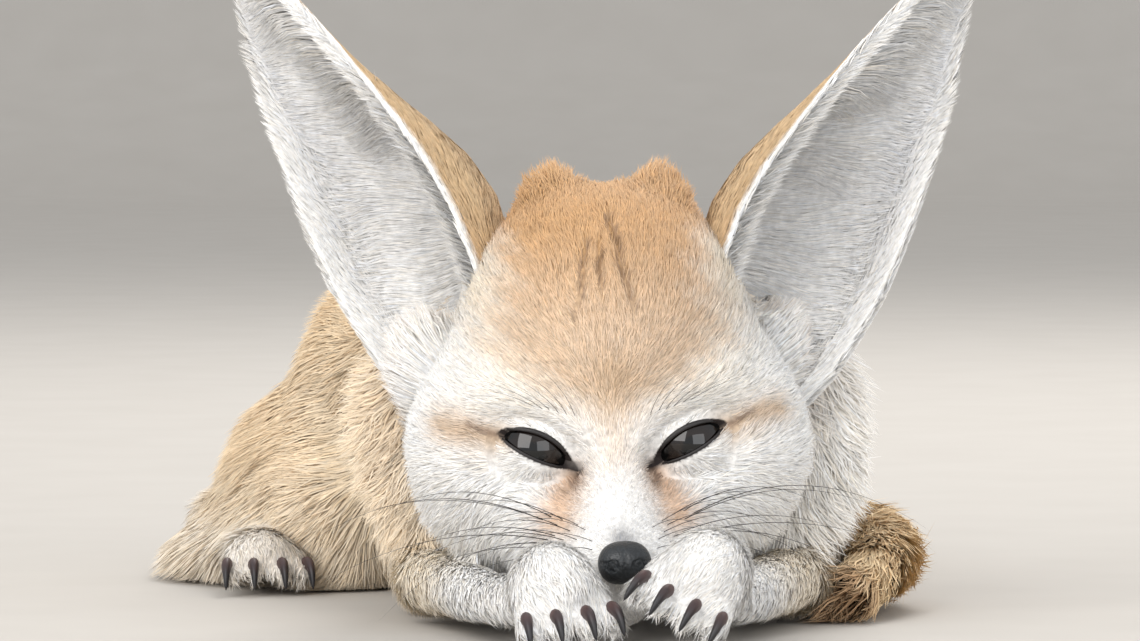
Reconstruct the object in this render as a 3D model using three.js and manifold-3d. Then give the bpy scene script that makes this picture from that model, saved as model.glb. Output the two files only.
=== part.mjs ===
// A fennec fox at life size, as a still museum model. It lies on its belly with its head low,
// its nose behind its two forepaws, and its tail round its left side.
// Millimetres, +Z up, the face towards -Y, the fox's left towards +X.
// The origin is on the floor, in the middle of the flat under its belly.

import * as THREE from "three";
import { mergeVertices } from "three/addons/utils/BufferGeometryUtils.js";
import Module from "manifold-3d";

const wasm = await Module();
wasm.setup();

const SIDES = { right: -1, left: 1 }; // the fox's own sides
const GAP = 0.35; // air between two parts that touch
const FLOOR_CUT = 400; // half-size of the block that flattens what lies on the floor

// Places of the main parts, which the rest is measured from
const FACE = new THREE.Vector3(20, -120, 0); // on the floor, under the point between the eyes
const EYE_HEIGHT = 38;
const HEAD_YAW = THREE.MathUtils.degToRad(3);
const HEAD_ROLL = THREE.MathUtils.degToRad(-2.3);
const HIPS = new THREE.Vector3(-12, 45, 0); // on the floor, between the hip joints
const BODY_TURN = THREE.MathUtils.degToRad(17); // the hips lie round to the fox's right

// Fields: each form is a function of a point that is negative inside it

const lerp = THREE.MathUtils.lerp;

// An egg with its centre and half-sizes, leaned by angles in degrees about X, Y and Z.
function egg(centre, half, lean = [0, 0, 0]) {
  const [cx, cy, cz] = centre;
  const [rx, ry, rz] = half;
  const angles = lean.map(THREE.MathUtils.degToRad);
  const m = new THREE.Matrix4().makeRotationFromEuler(new THREE.Euler(...angles)).transpose().elements;
  return (x, y, z) => {
    const px = x - cx;
    const py = y - cy;
    const pz = z - cz;
    const u = (m[0] * px + m[4] * py + m[8] * pz) / rx;
    const v = (m[1] * px + m[5] * py + m[9] * pz) / ry;
    const w = (m[2] * px + m[6] * py + m[10] * pz) / rz;
    const reach = Math.hypot(u, v, w);
    const slope = Math.hypot(u / rx, v / ry, w / rz);
    return slope < 1e-9 ? -Math.min(rx, ry, rz) : (reach * (reach - 1)) / slope;
  };
}

// A limb that tapers from one ball to another.
function limb(from, fromRadius, to, toRadius) {
  const way = to.map((v, i) => v - from[i]);
  const square = way[0] ** 2 + way[1] ** 2 + way[2] ** 2;
  return (x, y, z) => {
    const along = (x - from[0]) * way[0] + (y - from[1]) * way[1] + (z - from[2]) * way[2];
    const t = THREE.MathUtils.clamp(along / square, 0, 1);
    const gap = Math.hypot(x - from[0] - way[0] * t, y - from[1] - way[1] * t, z - from[2] - way[2] * t);
    return gap - lerp(fromRadius, toRadius, t);
  };
}

function softer(a, b, k) {
  const h = Math.max(k - Math.abs(a - b), 0) / k;
  return Math.min(a, b) - (h * h * k) / 4;
}

// Forms run together, with fillets of about size k.
const melt = (k, ...forms) => (x, y, z) => forms.reduce((d, form) => softer(d, form(x, y, z), k), 1e3);

// A form hollowed by another, with rounded edges.
const hollow = (k, form, tool) => (x, y, z) => -softer(-form(x, y, z), tool(x, y, z), k);

// The same form on both sides of the middle.
const pair = (form) => (x, y, z) => form(Math.abs(x), y, z);

// Geometry: three.js shapes whose points are moved onto a field, along a curve or over a section

function eachPoint(geometry, move) {
  const position = geometry.attributes.position;
  const point = new THREE.Vector3();
  for (let i = 0; i < position.count; i++) {
    point.fromBufferAttribute(position, i);
    move(point);
    position.setXYZ(i, point.x, point.y, point.z);
  }
  return geometry;
}

function fieldHit(field, centre, way, grow) {
  let reach = 160;
  for (let step = 0; step < 120; step++) {
    const p = way.clone().multiplyScalar(reach).add(centre);
    const d = field(p.x, p.y, p.z) - grow;
    if (Math.abs(d) < 0.004) break;
    reach -= d * 0.8;
  }
  return way.clone().multiplyScalar(reach).add(centre);
}

// A ball of small faces drawn in from outside onto a field. spread gives the field's own
// proportions to the faces, and lean crowds them towards one side.
function wrap(field, centre, detail, grow = 0, spread = [1, 1, 1], lean = [0, 0, 0]) {
  const middle = new THREE.Vector3(...centre);
  const proportions = new THREE.Vector3(...spread);
  const crowd = new THREE.Vector3(...lean);
  return eachPoint(new THREE.IcosahedronGeometry(1, detail), (p) => {
    const way = p.clone().add(crowd).multiply(proportions).normalize();
    p.copy(fieldHit(field, middle, way, grow));
  });
}

// A round-ended rod bent along a curve. size(t) gives its half-width and half-height at each place.
function bend(curve, size, steps, sides, capSteps = 3) {
  const up = new THREE.Vector3(0, 0, 1);
  const rod = new THREE.CapsuleGeometry(1, 1, capSteps, sides, steps);
  const length = curve.getLength();
  return eachPoint(rod, (p) => {
    const cap = THREE.MathUtils.clamp(Math.abs(p.y) - 0.5, 0, 1);
    const end = p.y < 0 ? 1 : 0;
    const t = THREE.MathUtils.clamp(0.5 - p.y, 0, 1);
    const [wide, high] = size(t);
    const along = curve.getTangentAt(t);
    const across = new THREE.Vector3().crossVectors(along, up).normalize();
    const over = new THREE.Vector3().crossVectors(across, along);
    const place = curve.getPointAt(t);
    place.addScaledVector(along, (end ? 1 : -1) * cap * Math.min(wide, high, length));
    p.copy(place.addScaledVector(across, -p.x * wide).addScaledVector(over, p.z * high));
  });
}

// Numbers between 0 and 1 that come out the same every time.
function seeded(seed) {
  let state = seed;
  return () => {
    state = (Math.imul(state, 1664525) + 1013904223) >>> 0;
    return state / 2 ** 32;
  };
}

// A lock of long hair: a flat cone that bows from its root through a middle point to its tip.
function lock([rootPoint, middlePoint, tipPoint], faceOut, width, thickness, grow = 0) {
  const beyond = tipPoint.clone().sub(middlePoint).normalize().multiplyScalar(3 * grow).add(tipPoint);
  const line = new THREE.QuadraticBezierCurve3(rootPoint, middlePoint, beyond);
  return eachPoint(new THREE.ConeGeometry(1, 1, 4, 3), (p) => {
    const t = THREE.MathUtils.clamp(p.y + 0.5, 0, 1);
    const ring = Math.max(1 - t, 1e-6);
    const taper = t > 0.999 ? 0 : ((0.7 + 1.1 * t) * (1 - t) ** 0.8) / ring;
    const ahead = line.getTangent(t);
    const across = new THREE.Vector3().crossVectors(ahead, faceOut).normalize();
    const out = new THREE.Vector3().crossVectors(across, ahead);
    const [wide, deep] = [p.x * taper * (width / 2 + grow), p.z * taper * (thickness / 2 + grow)];
    p.copy(line.getPoint(t).addScaledVector(across, wide).addScaledVector(out, deep));
  });
}

// Solids

function solidOf(geometry, place = new THREE.Matrix4()) {
  const bare = geometry.clone();
  bare.deleteAttribute("normal");
  bare.deleteAttribute("uv");
  const merged = mergeVertices(bare.applyMatrix4(place), 1e-3);
  return new wasm.Manifold(
    new wasm.Mesh({
      numProp: 3,
      vertProperties: merged.attributes.position.array,
      triVerts: new Uint32Array(merged.index.array),
    }),
  );
}

function geometryOf(solid) {
  const mesh = solid.getMesh();
  const geometry = new THREE.BufferGeometry();
  geometry.setAttribute("position", new THREE.BufferAttribute(mesh.vertProperties, 3));
  geometry.setIndex(new THREE.BufferAttribute(mesh.triVerts, 1));
  geometry.computeVertexNormals();
  return geometry;
}

// The largest closed surface of a solid, without loose scraps.
function largest(solid) {
  const bodies = solid.decompose();
  return bodies.reduce((best, body) => (body.volume() > best.volume() ? body : best));
}

// A part with locks grown out of it, as one closed body.
const withLocks = (core, locks) => wasm.Manifold.union([core, ...locks.map((one) => solidOf(one))]);

const underFloor = solidOf(
  new THREE.BoxGeometry(2 * FLOOR_CUT, 2 * FLOOR_CUT, FLOOR_CUT).translate(0, 0, -FLOOR_CUT / 2),
);

const fox = new THREE.Group();

function material(hex, roughness) {
  return new THREE.MeshStandardMaterial({ color: hex, roughness, metalness: 0 });
}

const SANDY = material(0xdfb98c, 0.9);
const CREAM = material(0xeee0cb, 0.9);
const WHITE = material(0xf4efe8, 0.9);
const BRUSH = material(0xb88a58, 0.9);
const NOSE_LEATHER = material(0x23262a, 0.45);
const EYE_DARK = material(0x120d0b, 0.08);
const CLAW_HORN = material(0x4a3a36, 0.5);

// Each part gives way, with an air gap, to the floor and to the parts placed before it.
const room = [];

function place(name, shape, finish) {
  const free = room.reduce((rest, taken) => rest.subtract(taken), shape(0).subtract(underFloor));
  const mesh = new THREE.Mesh(geometryOf(largest(free)), finish);
  mesh.name = name;
  fox.add(mesh);
  room.push(shape(GAP));
}

// The head's own frame has its origin between the eyes
const headPlace = new THREE.Matrix4()
  .makeRotationFromEuler(new THREE.Euler(0, HEAD_ROLL, HEAD_YAW))
  .setPosition(FACE.x, FACE.y, EYE_HEIGHT);

const EYE = { side: 15.5, back: 6.2, radius: 8.3, slant: 27 };
const NOSE = { y: -25, z: -21.5, half: [5.4, 4.6, 4.6] };

const skull = melt(
  12,
  egg([0, 24, 24], [30, 32, 29]),
  egg([0, 13, 18], [24, 17, 29]),
  pair(egg([22.5, 17, -1], [19.5, 19, 22.5])),
);
const muzzle = melt(
  7,
  limb([0, 5, -6], 12, [0, -18.5, -21], 6.2),
  pair(limb([5, 0, -20], 8, [6.5, -14, -24], 7)),
  pair(egg([12.5, 5, -17], [11, 14, 11])),
  limb([0, 8, -26], 10, [0, -15.5, -31], 4.4),
);
const crownTufts = melt(5, egg([-8.5, 27, 45], [8, 8, 12]), egg([13, 27, 45], [8, 8, 12]));
const earRoots = pair(egg([29, 33, 8], [13, 10, 20], [0, 27, 0]));
const brows = pair(egg([15, 2.5, 8.5], [11, 5, 4], [0, -EYE.slant, 0]));
const sockets = pair(egg([EYE.side, -5.5, -0.5], [9, 5.2, 4.6], [0, -EYE.slant, 0]));
const headField = hollow(4, melt(7, melt(10, skull, muzzle), brows, melt(8, earRoots, crownTufts)), sockets);

const HEAD_CENTRE = [0, 10, 2];
const HEAD_SPREAD = [1, 0.9, 1];
const HEAD_LEAN = [0, -0.56, -0.12];
const HEAD_DETAIL = 9;

// The almond of an open eye, as points on the head's surface. u runs round it from 0 to 1.
function almond(side, half, u) {
  const angle = u * 2 * Math.PI;
  const along = Math.cos(angle) * half[0];
  const lift = Math.sin(angle) * half[1] * (1 - 0.25 * Math.cos(angle) ** 2);
  const slant = THREE.MathUtils.degToRad(EYE.slant);
  const x = EYE.side + along * Math.cos(slant) - lift * Math.sin(slant);
  const z = along * Math.sin(slant) + lift * Math.cos(slant);
  return new THREE.Vector3(side * x, 0, z);
}

const EYE_OPENING = [7.8, 3];
const LID_RADIUS = 1.1;

function almondShape(side, half) {
  const points = Array.from({ length: 14 }, (_, i) => almond(side, half, i / 14));
  return new THREE.Shape(points.map((p) => new THREE.Vector2(p.x, p.z)));
}

// A straight-sided plug through the eye's almond, from in front of the face to some depth in it.
function almondPlug(side, half, depth) {
  const FRONT = 12;
  const plug = new THREE.ExtrudeGeometry(almondShape(side, half), {
    depth: FRONT + depth,
    bevelEnabled: false,
  });
  return plug.rotateX(Math.PI / 2).translate(0, depth, 0);
}

function eyeBall(side) {
  return new THREE.SphereGeometry(EYE.radius, 12, 8).translate(side * EYE.side, EYE.back, 0);
}

function onHead(x, z) {
  const from = new THREE.Vector3(x, -60, z);
  for (let step = 0; step < 80; step++) {
    const d = headField(from.x, from.y, from.z);
    if (Math.abs(d) < 0.01) break;
    from.y += d * 0.8;
  }
  return from;
}

// A closed ring of lid skin round the eye, raised a little off the face.
function lidRing(side) {
  const STEPS = 14;
  const points = Array.from({ length: STEPS }, (_, i) => {
    const p = almond(side, [EYE_OPENING[0] + 0.7, EYE_OPENING[1] + 0.8], i / STEPS);
    return onHead(p.x, p.z);
  });
  const line = new THREE.CatmullRomCurve3(points, true);
  const ring = new THREE.TorusGeometry(10, 1, 4, STEPS);
  const out = new THREE.Vector3(0, -1, 0);
  return eachPoint(ring, (p) => {
    const angle = Math.atan2(p.y, p.x);
    const t = ((angle / (2 * Math.PI)) + 1) % 1;
    const away = Math.hypot(p.x, p.y) - 10;
    const along = line.getTangentAt(t);
    const across = new THREE.Vector3().crossVectors(along, out).normalize();
    const place = line.getPointAt(t);
    p.copy(place.addScaledVector(across, away * LID_RADIUS).addScaledVector(out, p.z * LID_RADIUS));
  });
}

// The closed mouth is a fine groove that runs back from under the nose on each side.
function mouthGroove(side) {
  const MOUTH_DEPTH = 0.8;
  const corners = [
    [0.4, -20, -27],
    [6, -18, -27.5],
    [10.5, -10, -27.5],
    [14, 0, -25],
  ];
  const middle = new THREE.Vector3(0, 4, -27);
  const line = corners.map(([x, y, z]) => {
    const way = new THREE.Vector3(side * x, y, z).sub(middle).normalize();
    return fieldHit(headField, middle, way, 0);
  });
  const size = () => [MOUTH_DEPTH, MOUTH_DEPTH];
  return bend(new THREE.CatmullRomCurve3(line), size, 6, 4, 1);
}

// Nose leather, with a nostril on each side
const noseField = melt(
  2.5,
  egg([0, NOSE.y, NOSE.z], NOSE.half),
  pair(egg([3, NOSE.y + 0.5, NOSE.z - 0.5], [2.9, 3.6, 3.4])),
);
const noseShape = (grow) => solidOf(wrap(noseField, [0, NOSE.y, NOSE.z], 3, grow), headPlace);

function nostril(side) {
  const hole = new THREE.SphereGeometry(1, 6, 4).scale(1.25, 2, 0.95);
  return hole.rotateY(side * 0.5).translate(side * 3, NOSE.y - 4, NOSE.z - 0.6);
}

const noseLeather = (grow) =>
  [-1, 1].reduce(
    (leather, side) => (grow ? leather : leather.subtract(solidOf(nostril(side), headPlace))),
    noseShape(grow),
  );

const EYE_DEPTH = 7;
const eyePlug = (side, half, depth) => solidOf(almondPlug(side, half, depth), headPlace);
const eyeShape = (side) => (grow) =>
  grow
    ? eyePlug(side, EYE_OPENING, EYE_DEPTH)
    : solidOf(eyeBall(side), headPlace).intersect(
        eyePlug(side, EYE_OPENING.map((v) => v - GAP), EYE_DEPTH - GAP),
      );

function headShape(grow) {
  const skin = solidOf(wrap(headField, HEAD_CENTRE, HEAD_DETAIL, grow, HEAD_SPREAD, HEAD_LEAN), headPlace);
  if (grow) return skin;
  return [-1, 1].reduce((rest, side) => {
    const lid = solidOf(lidRing(side), headPlace);
    return rest.add(lid).subtract(solidOf(mouthGroove(side), headPlace));
  }, skin);
}

place("nose", noseLeather, NOSE_LEATHER);
for (const [word, side] of Object.entries(SIDES)) place(`eye_${word}`, eyeShape(side), EYE_DARK);
place("head", headShape, SANDY);

// Ears: a long cup, curled deep at its root and flat at its tip
const EAR_STANCE = {
  right: { root: [-12.3, -98, 50.7], tip: [-56.9, -84, 139.3], facing: 45 },
  left: { root: [48.3, -98, 49.7], tip: [92.4, -84, 138.5], facing: 32 },
}; // facing is how far each cup is turned outwards, in degrees
// Half the cup's width, and how far it curls round on each side in degrees, from root to tip
const EAR_WIDTH = [14, 18, 20, 21, 20, 18, 16, 13.2, 9.8, 5.8, 1.2];
const EAR_CURL = [95, 100, 104, 106, 104, 95, 80, 62, 50, 42, 36];
const EAR_WALL = 2.6;

function along(list, t) {
  const place = THREE.MathUtils.clamp(t, 0, 1) * (list.length - 1);
  const i = Math.min(Math.floor(place), list.length - 2);
  return lerp(list[i], list[i + 1], place - i);
}

function earPlace({ root, tip, facing }) {
  const base = new THREE.Vector3(...root);
  const up = new THREE.Vector3(...tip).sub(base).normalize();
  const turn = THREE.MathUtils.degToRad(facing) * Math.sign(up.x);
  const back = new THREE.Vector3(-Math.sin(turn), Math.cos(turn), 0);
  const across = new THREE.Vector3().crossVectors(back, up).normalize();
  return new THREE.Matrix4().makeBasis(across, across.clone().cross(up).negate(), up).setPosition(base);
}

// A point of the cup: u goes from one rim to the other, h from root to tip, out through the wall.
function earPoint(stance, u, h, out) {
  const length = new THREE.Vector3(...stance.root).distanceTo(new THREE.Vector3(...stance.tip));
  const curl = THREE.MathUtils.degToRad(along(EAR_CURL, h));
  const radius = along(EAR_WIDTH, h) / Math.sin(Math.min(curl, Math.PI / 2));
  const reach = radius + out;
  return new THREE.Vector3(
    reach * Math.sin(u * curl),
    reach * Math.cos(u * curl) - radius * Math.cos(curl),
    h * length,
  );
}

function earShape(word, grow = 0) {
  const stance = EAR_STANCE[word];
  const cup = new THREE.BoxGeometry(2, 2, 2, 9, 12, 1);
  eachPoint(cup, (p) => {
    const wall = EAR_WALL * (1 - 0.5 * ((p.y + 1) / 2)) * (1 - 0.5 * p.x * p.x);
    const out = (-p.z * wall) / 2 - wall / 2 + -p.z * grow;
    p.copy(earPoint(stance, p.x * (1 + grow * 0.04), (p.y + 1) / 2, out));
  });
  const shell = solidOf(cup, earPlace(stance));
  return grow ? shell : withLocks(shell, earLocks(word));
}

// Long white hair that springs from the cup's inner edge and sweeps across it
const EAR_LOCKS = { count: 8, from: 0.16, to: 0.72, width: 8.5, thickness: 1.7 };

function earLocks(word) {
  const stance = EAR_STANCE[word];
  const inner = -SIDES[word];
  const random = seeded(11);
  return Array.from({ length: EAR_LOCKS.count }, (_, i) => {
    const h = lerp(EAR_LOCKS.from, EAR_LOCKS.to, (i + 0.6 * random()) / (EAR_LOCKS.count - 1));
    const sweep = 0.5 + 0.3 * random();
    const rootPoint = earPoint(stance, inner * 0.86, h, -1);
    const middlePoint = earPoint(stance, inner * 0.25, h + 0.1, -4.2);
    const tipPoint = earPoint(stance, -inner * sweep, h + 0.06, -2.6);
    const faceOut = new THREE.Vector3(0, -1, 0);
    const path = [rootPoint, middlePoint, tipPoint];
    return lock(path, faceOut, EAR_LOCKS.width, EAR_LOCKS.thickness).applyMatrix4(earPlace(stance));
  });
}

// Torso and neck

const torsoField = melt(
  16,
  egg([20, -46, 37], [42, 38, 40]),
  egg([6, -6, 37], [43, 50, 41]),
  egg([-10, 38, 38], [43, 46, 42]),
  egg([-20, 76, 32], [35, 31, 34]),
);
const torsoShape = (grow) => solidOf(wrap(torsoField, [2, 8, 34], 4, grow, [0.8, 1.35, 0.8]));

const neckField = melt(14, limb([20, -84, 52], 34, [20, -58, 46], 38), egg([20, -72, 28], [33, 26, 26]));
const neckShape = (grow) => solidOf(wrap(neckField, [20, -70, 42], 3, grow));

place("torso", torsoShape, SANDY);
place("neck", neckShape, CREAM);
for (const word of Object.keys(SIDES)) place(`ear_${word}`, (grow) => earShape(word, grow), SANDY);

const mirrored = (point, side) => [FACE.x + side * point[0], point[1], point[2]];

// Ruff: the long pale hair behind each cheek, from under the ear round to the throat
const RUFF_LINE = [
  [33, -76, 66],
  [43, -74, 50],
  [43, -79, 31],
  [32, -88, 15],
];
const RUFF_RADIUS = [6, 8.5, 9, 6];
const RUFF_LOCKS = { count: 9, length: 24, width: 12, thickness: 3.4 };

function ruffShape(word, side, grow) {
  const line = new THREE.CatmullRomCurve3(RUFF_LINE.map((p) => new THREE.Vector3(...mirrored(p, side))));
  const size = (t) => [along(RUFF_RADIUS, t) + grow, along(RUFF_RADIUS, t) + grow];
  const core = solidOf(bend(line, size, 5, 8, 2));
  const random = seeded(side + 5);
  const locks = Array.from({ length: RUFF_LOCKS.count }, (_, i) => {
    const t = (i + 0.3 + 0.4 * random()) / RUFF_LOCKS.count;
    const reach = RUFF_LOCKS.length * lerp(0.85, 1.15, random());
    const step = (out, back, up) => new THREE.Vector3(side * out, back, up * lerp(0.4, 1, t)).multiplyScalar(reach);
    const rootPoint = line.getPointAt(t).add(step(0.12, 0.05, 0));
    const path = [rootPoint, rootPoint.clone().add(step(0.3, 0.42, -0.1)), rootPoint.clone().add(step(0.34, 0.95, -0.5))];
    const faceOut = new THREE.Vector3(side, -0.25, 0.1).normalize();
    return lock(path, faceOut, RUFF_LOCKS.width, RUFF_LOCKS.thickness, grow);
  });
  return withLocks(core, locks);
}

// Forelegs: shoulder, forearm and paw, with the paws together before the nose

const SHOULDER = { centre: [34, -60, 26], half: [19, 27, 33] };
const FORELEG = {
  elbow: [37, -86, 9],
  elbowRadius: 9,
  wrist: [24, -133, 8.5],
  wristRadius: 7.2,
};
const PAW_PLACE = {
  right: { x: 9.5, y: -158, z: 0.6, yaw: 14, roll: -6 },
  left: { x: 32.5, y: -160.5, z: 4.8, yaw: -14, roll: 27 },
};

function shoulderShape(side, grow) {
  const { centre, half } = SHOULDER;
  const field = egg(mirrored(centre, side), half, [-14, side * 6, 0]);
  return solidOf(wrap(field, mirrored(centre, side), 2, grow));
}

function pawPlace(word) {
  const { x, y, z, yaw, roll } = PAW_PLACE[word];
  const turn = new THREE.Euler(
    0,
    THREE.MathUtils.degToRad(roll),
    THREE.MathUtils.degToRad(yaw),
    "ZYX",
  );
  return new THREE.Matrix4().makeRotationFromEuler(turn).setPosition(x, y, z);
}

const TOES = [-7.6, -2.7, 2.7, 7.6]; // how far each toe stands from the paw's middle
const toeReach = (x) => -11.5 + 0.028 * x * x; // how far forward each toe's knuckle is

const pawField = melt(
  3,
  egg([0, 1, 11], [9.8, 13, 11]),
  ...TOES.map((x) => limb([x * 0.8, -4, 10], 4.4, [x * 1.12, toeReach(x), 5.4], 3.5)),
);
const pawShape = (word, grow) =>
  solidOf(wrap(pawField, [0, -3, 8], 4, grow, [1, 1.1, 1], [0, -0.25, 0]), pawPlace(word));

function forearmShape(side, word, grow) {
  const elbow = new THREE.Vector3(...mirrored(FORELEG.elbow, side));
  const wrist = new THREE.Vector3(...mirrored(FORELEG.wrist, side));
  const paw = new THREE.Vector3(0, 3, 9).applyMatrix4(pawPlace(word));
  const curve = new THREE.CatmullRomCurve3([elbow, elbow.clone().lerp(wrist, 0.5), wrist, paw]);
  const size = (t) => {
    const radius = lerp(FORELEG.elbowRadius, FORELEG.wristRadius, Math.min(t * 1.5, 1)) + grow;
    return [radius, radius];
  };
  return solidOf(bend(curve, size, 6, 10, 2));
}

// A claw comes out of the top of the toe and curves down towards the floor.
const CLAW_RADIUS = 1.3;
const CLAW_PATH = [
  [1.5, 7.2],
  [-2.2, 7.8],
  [-4.9, 5.9],
  [-6.3, 2.4],
]; // each point forward of the knuckle and above the floor

function clawGeometry(toeX, grow = 0) {
  const points = CLAW_PATH.map(([y, z]) => new THREE.Vector3(toeX * 1.12 - y * toeX * 0.02, toeReach(toeX) + y, z));
  const size = (t) => {
    const radius = CLAW_RADIUS * Math.sqrt(1.02 - t) * 0.9 + 0.12 + grow;
    return [radius * 0.85, radius * 1.1];
  };
  return bend(new THREE.CatmullRomCurve3(points), size, 3, 5, 1);
}

for (const word of Object.keys(SIDES)) {
  TOES.forEach((x, i) => {
    const claw = (grow) => solidOf(clawGeometry(x, grow), pawPlace(word));
    place(`claw_fore_${word}_${i + 1}`, claw, CLAW_HORN);
  });
}
for (const word of Object.keys(SIDES)) place(`forepaw_${word}`, (grow) => pawShape(word, grow), WHITE);
for (const [word, side] of Object.entries(SIDES)) {
  place(`shoulder_${word}`, (grow) => shoulderShape(side, grow), CREAM);
  place(`forearm_${word}`, (grow) => forearmShape(side, word, grow), WHITE);
  place(`ruff_${word}`, (grow) => ruffShape(word, side, grow), CREAM);
}

// Hind legs, in the hips' own frame: haunch, shank and foot, folded beside the belly

const hipPlace = new THREE.Matrix4().makeRotationZ(BODY_TURN).setPosition(HIPS.x, HIPS.y, 0);
const SPREAD = { right: 1, left: 0.74 }; // how far each foot stands out from the body
const HIND = {
  knee: [40, -30, 18],
  kneeRadius: 11,
  heel: [43, 46, 9],
  heelRadius: 8,
  toes: [55, -34, 7],
};

// The haunch is a rounded thigh, leaned in against the hip, over a skirt of long fur at the floor.
function haunchShape(side, grow) {
  const spread = side > 0 ? SPREAD.left : SPREAD.right;
  const thigh = egg([side * 34, -5, 18], [23, 41, 33], [10, -side * 18, 0]);
  const skirt = egg([side * 38 * spread, 6, 6], [29, 46, 14], [0, 0, side * 8]);
  const field = melt(14, thigh, skirt);
  const centre = [side * 34, -2, 15];
  return solidOf(wrap(field, centre, 3, grow, [1, 1.4, 0.9]), hipPlace);
}

const hindPoint = (point, word) => [SIDES[word] * point[0] * SPREAD[word], point[1], point[2]];

function shankShape(word, grow) {
  const curve = new THREE.LineCurve3(
    new THREE.Vector3(...hindPoint(HIND.knee, word)),
    new THREE.Vector3(...hindPoint(HIND.heel, word)),
  );
  const size = (t) => {
    const radius = lerp(HIND.kneeRadius, HIND.heelRadius + 1, t) + grow;
    return [radius, radius];
  };
  return solidOf(bend(curve, size, 6, 10), hipPlace);
}

function hindFootPlace(word) {
  const heel = new THREE.Vector3(...hindPoint(HIND.heel, word));
  const toes = new THREE.Vector3(...hindPoint(HIND.toes, word));
  const yaw = Math.atan2(toes.x - heel.x, heel.y - toes.y);
  return hipPlace.clone().multiply(new THREE.Matrix4().makeRotationZ(yaw).setPosition(toes.x, toes.y, 0));
}

const FOOT_LENGTH = HIND.heel[1] - HIND.toes[1];
const footField = melt(
  3,
  limb([0, FOOT_LENGTH, 9], HIND.heelRadius, [0, 12, 7.5], 6.5),
  egg([0, 3, 7.5], [9, 13, 7]),
  ...TOES.map((x) => limb([x * 0.8, -2, 7], 3.8, [x, toeReach(x) + 1, 4.6], 3.2)),
);
const FOOT_SPREAD = [0.6, 1.5, 0.6];
const footShape = (word, grow) =>
  solidOf(wrap(footField, [0, 18, 6], 3, grow, FOOT_SPREAD, [0, -0.5, 0]), hindFootPlace(word));

for (const [word, side] of Object.entries(SIDES)) {
  TOES.forEach((x, i) => {
    const claw = (grow) => solidOf(clawGeometry(x, grow).translate(0, 1.5, -1.2), hindFootPlace(word));
    place(`claw_hind_${word}_${i + 1}`, claw, CLAW_HORN);
  });
  place(`hindfoot_${word}`, (grow) => footShape(word, grow), CREAM);
  place(`haunch_${word}`, (grow) => haunchShape(side, grow), SANDY);
  place(`shank_${word}`, (grow) => shankShape(word, grow), CREAM);
}

// Tail: out from under the rump and forward along the fox's left side

const tailLine = new THREE.CatmullRomCurve3(
  [
    [-18, 92, 22],
    [0, 122, 17],
    [34, 122, 15],
    [58, 96, 14.5],
    [62, 60, 14.5],
    [62, 24, 14],
    [68, -8, 13],
    [74, -36, 11.5],
    [75, -58, 10],
    [71, -78, 8],
  ].map((p) => new THREE.Vector3(...p)),
);
const TAIL_BRUSH = [12, 13.5, 14, 14, 14, 14, 13.5, 12.5, 10, 5]; // out to the hair tips, along the tail
const TAIL_CORE = 0.66; // how much of that the packed underhair fills
const TAIL_LOCKS = { spacing: 24, round: 4, width: 13, thickness: 3.6, length: 33 };
const TAIL_PARTS = { tail_root: [0, 0.34], tail_middle: [0.34, 0.68], tail_tip: [0.68, 1] };

class CurveStretch extends THREE.Curve {
  constructor(whole, from, to) {
    super();
    Object.assign(this, { whole, from, to });
  }
  getPoint(t, target = new THREE.Vector3()) {
    return this.whole.getPointAt(lerp(this.from, this.to, t), target);
  }
}

function tailLocks(from, to, grow) {
  const random = seeded(Math.round(from * 100) + 3);
  const length = tailLine.getLength();
  const rows = Math.round(((to - from) * length) / TAIL_LOCKS.spacing);
  const locks = [];
  for (let row = 0; row < rows; row++) {
    for (let step = 0; step < TAIL_LOCKS.round; step++) {
      const t = lerp(from, to, (row + 0.4 * random()) / rows);
      const turn = ((step + 0.5 * (row % 2) + 0.3 * random()) / TAIL_LOCKS.round) * 2 * Math.PI;
      const ahead = tailLine.getTangentAt(THREE.MathUtils.clamp(t, 0, 1));
      const across = new THREE.Vector3(ahead.y, -ahead.x, 0).normalize();
      const out = across.multiplyScalar(Math.cos(turn)).add(new THREE.Vector3(0, 0, Math.sin(turn)));
      const end = Math.min(t + (TAIL_LOCKS.length * lerp(0.85, 1.1, random())) / length, 0.995);
      const at = (place, share) =>
        tailLine.getPointAt(place).addScaledVector(out, along(TAIL_BRUSH, place) * share);
      const hair = [at(t, 0.35), at(lerp(t, end, 0.5), 0.98), at(end, 0.97)];
      const slim = 0.5 + 0.5 * Math.min(1, along(TAIL_BRUSH, t) / TAIL_BRUSH[1]);
      locks.push(lock(hair, out, TAIL_LOCKS.width * slim, TAIL_LOCKS.thickness, grow));
    }
  }
  return locks;
}

function tailShape(from, to, grow) {
  const size = (t) => {
    const radius = along(TAIL_BRUSH, lerp(from, to, t)) * TAIL_CORE + grow;
    return [radius, radius];
  };
  const core = solidOf(bend(new CurveStretch(tailLine, from, to), size, 6, 8, 1));
  return withLocks(core, tailLocks(from, to, grow));
}

for (const [name, [from, to]] of Object.entries(TAIL_PARTS)) {
  place(name, (grow) => tailShape(from, to, grow), BRUSH);
}

export default fox;
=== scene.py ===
import math

import bmesh
import bpy
import numpy as np
from mathutils import Matrix, Vector
from mathutils.kdtree import KDTree


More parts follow.
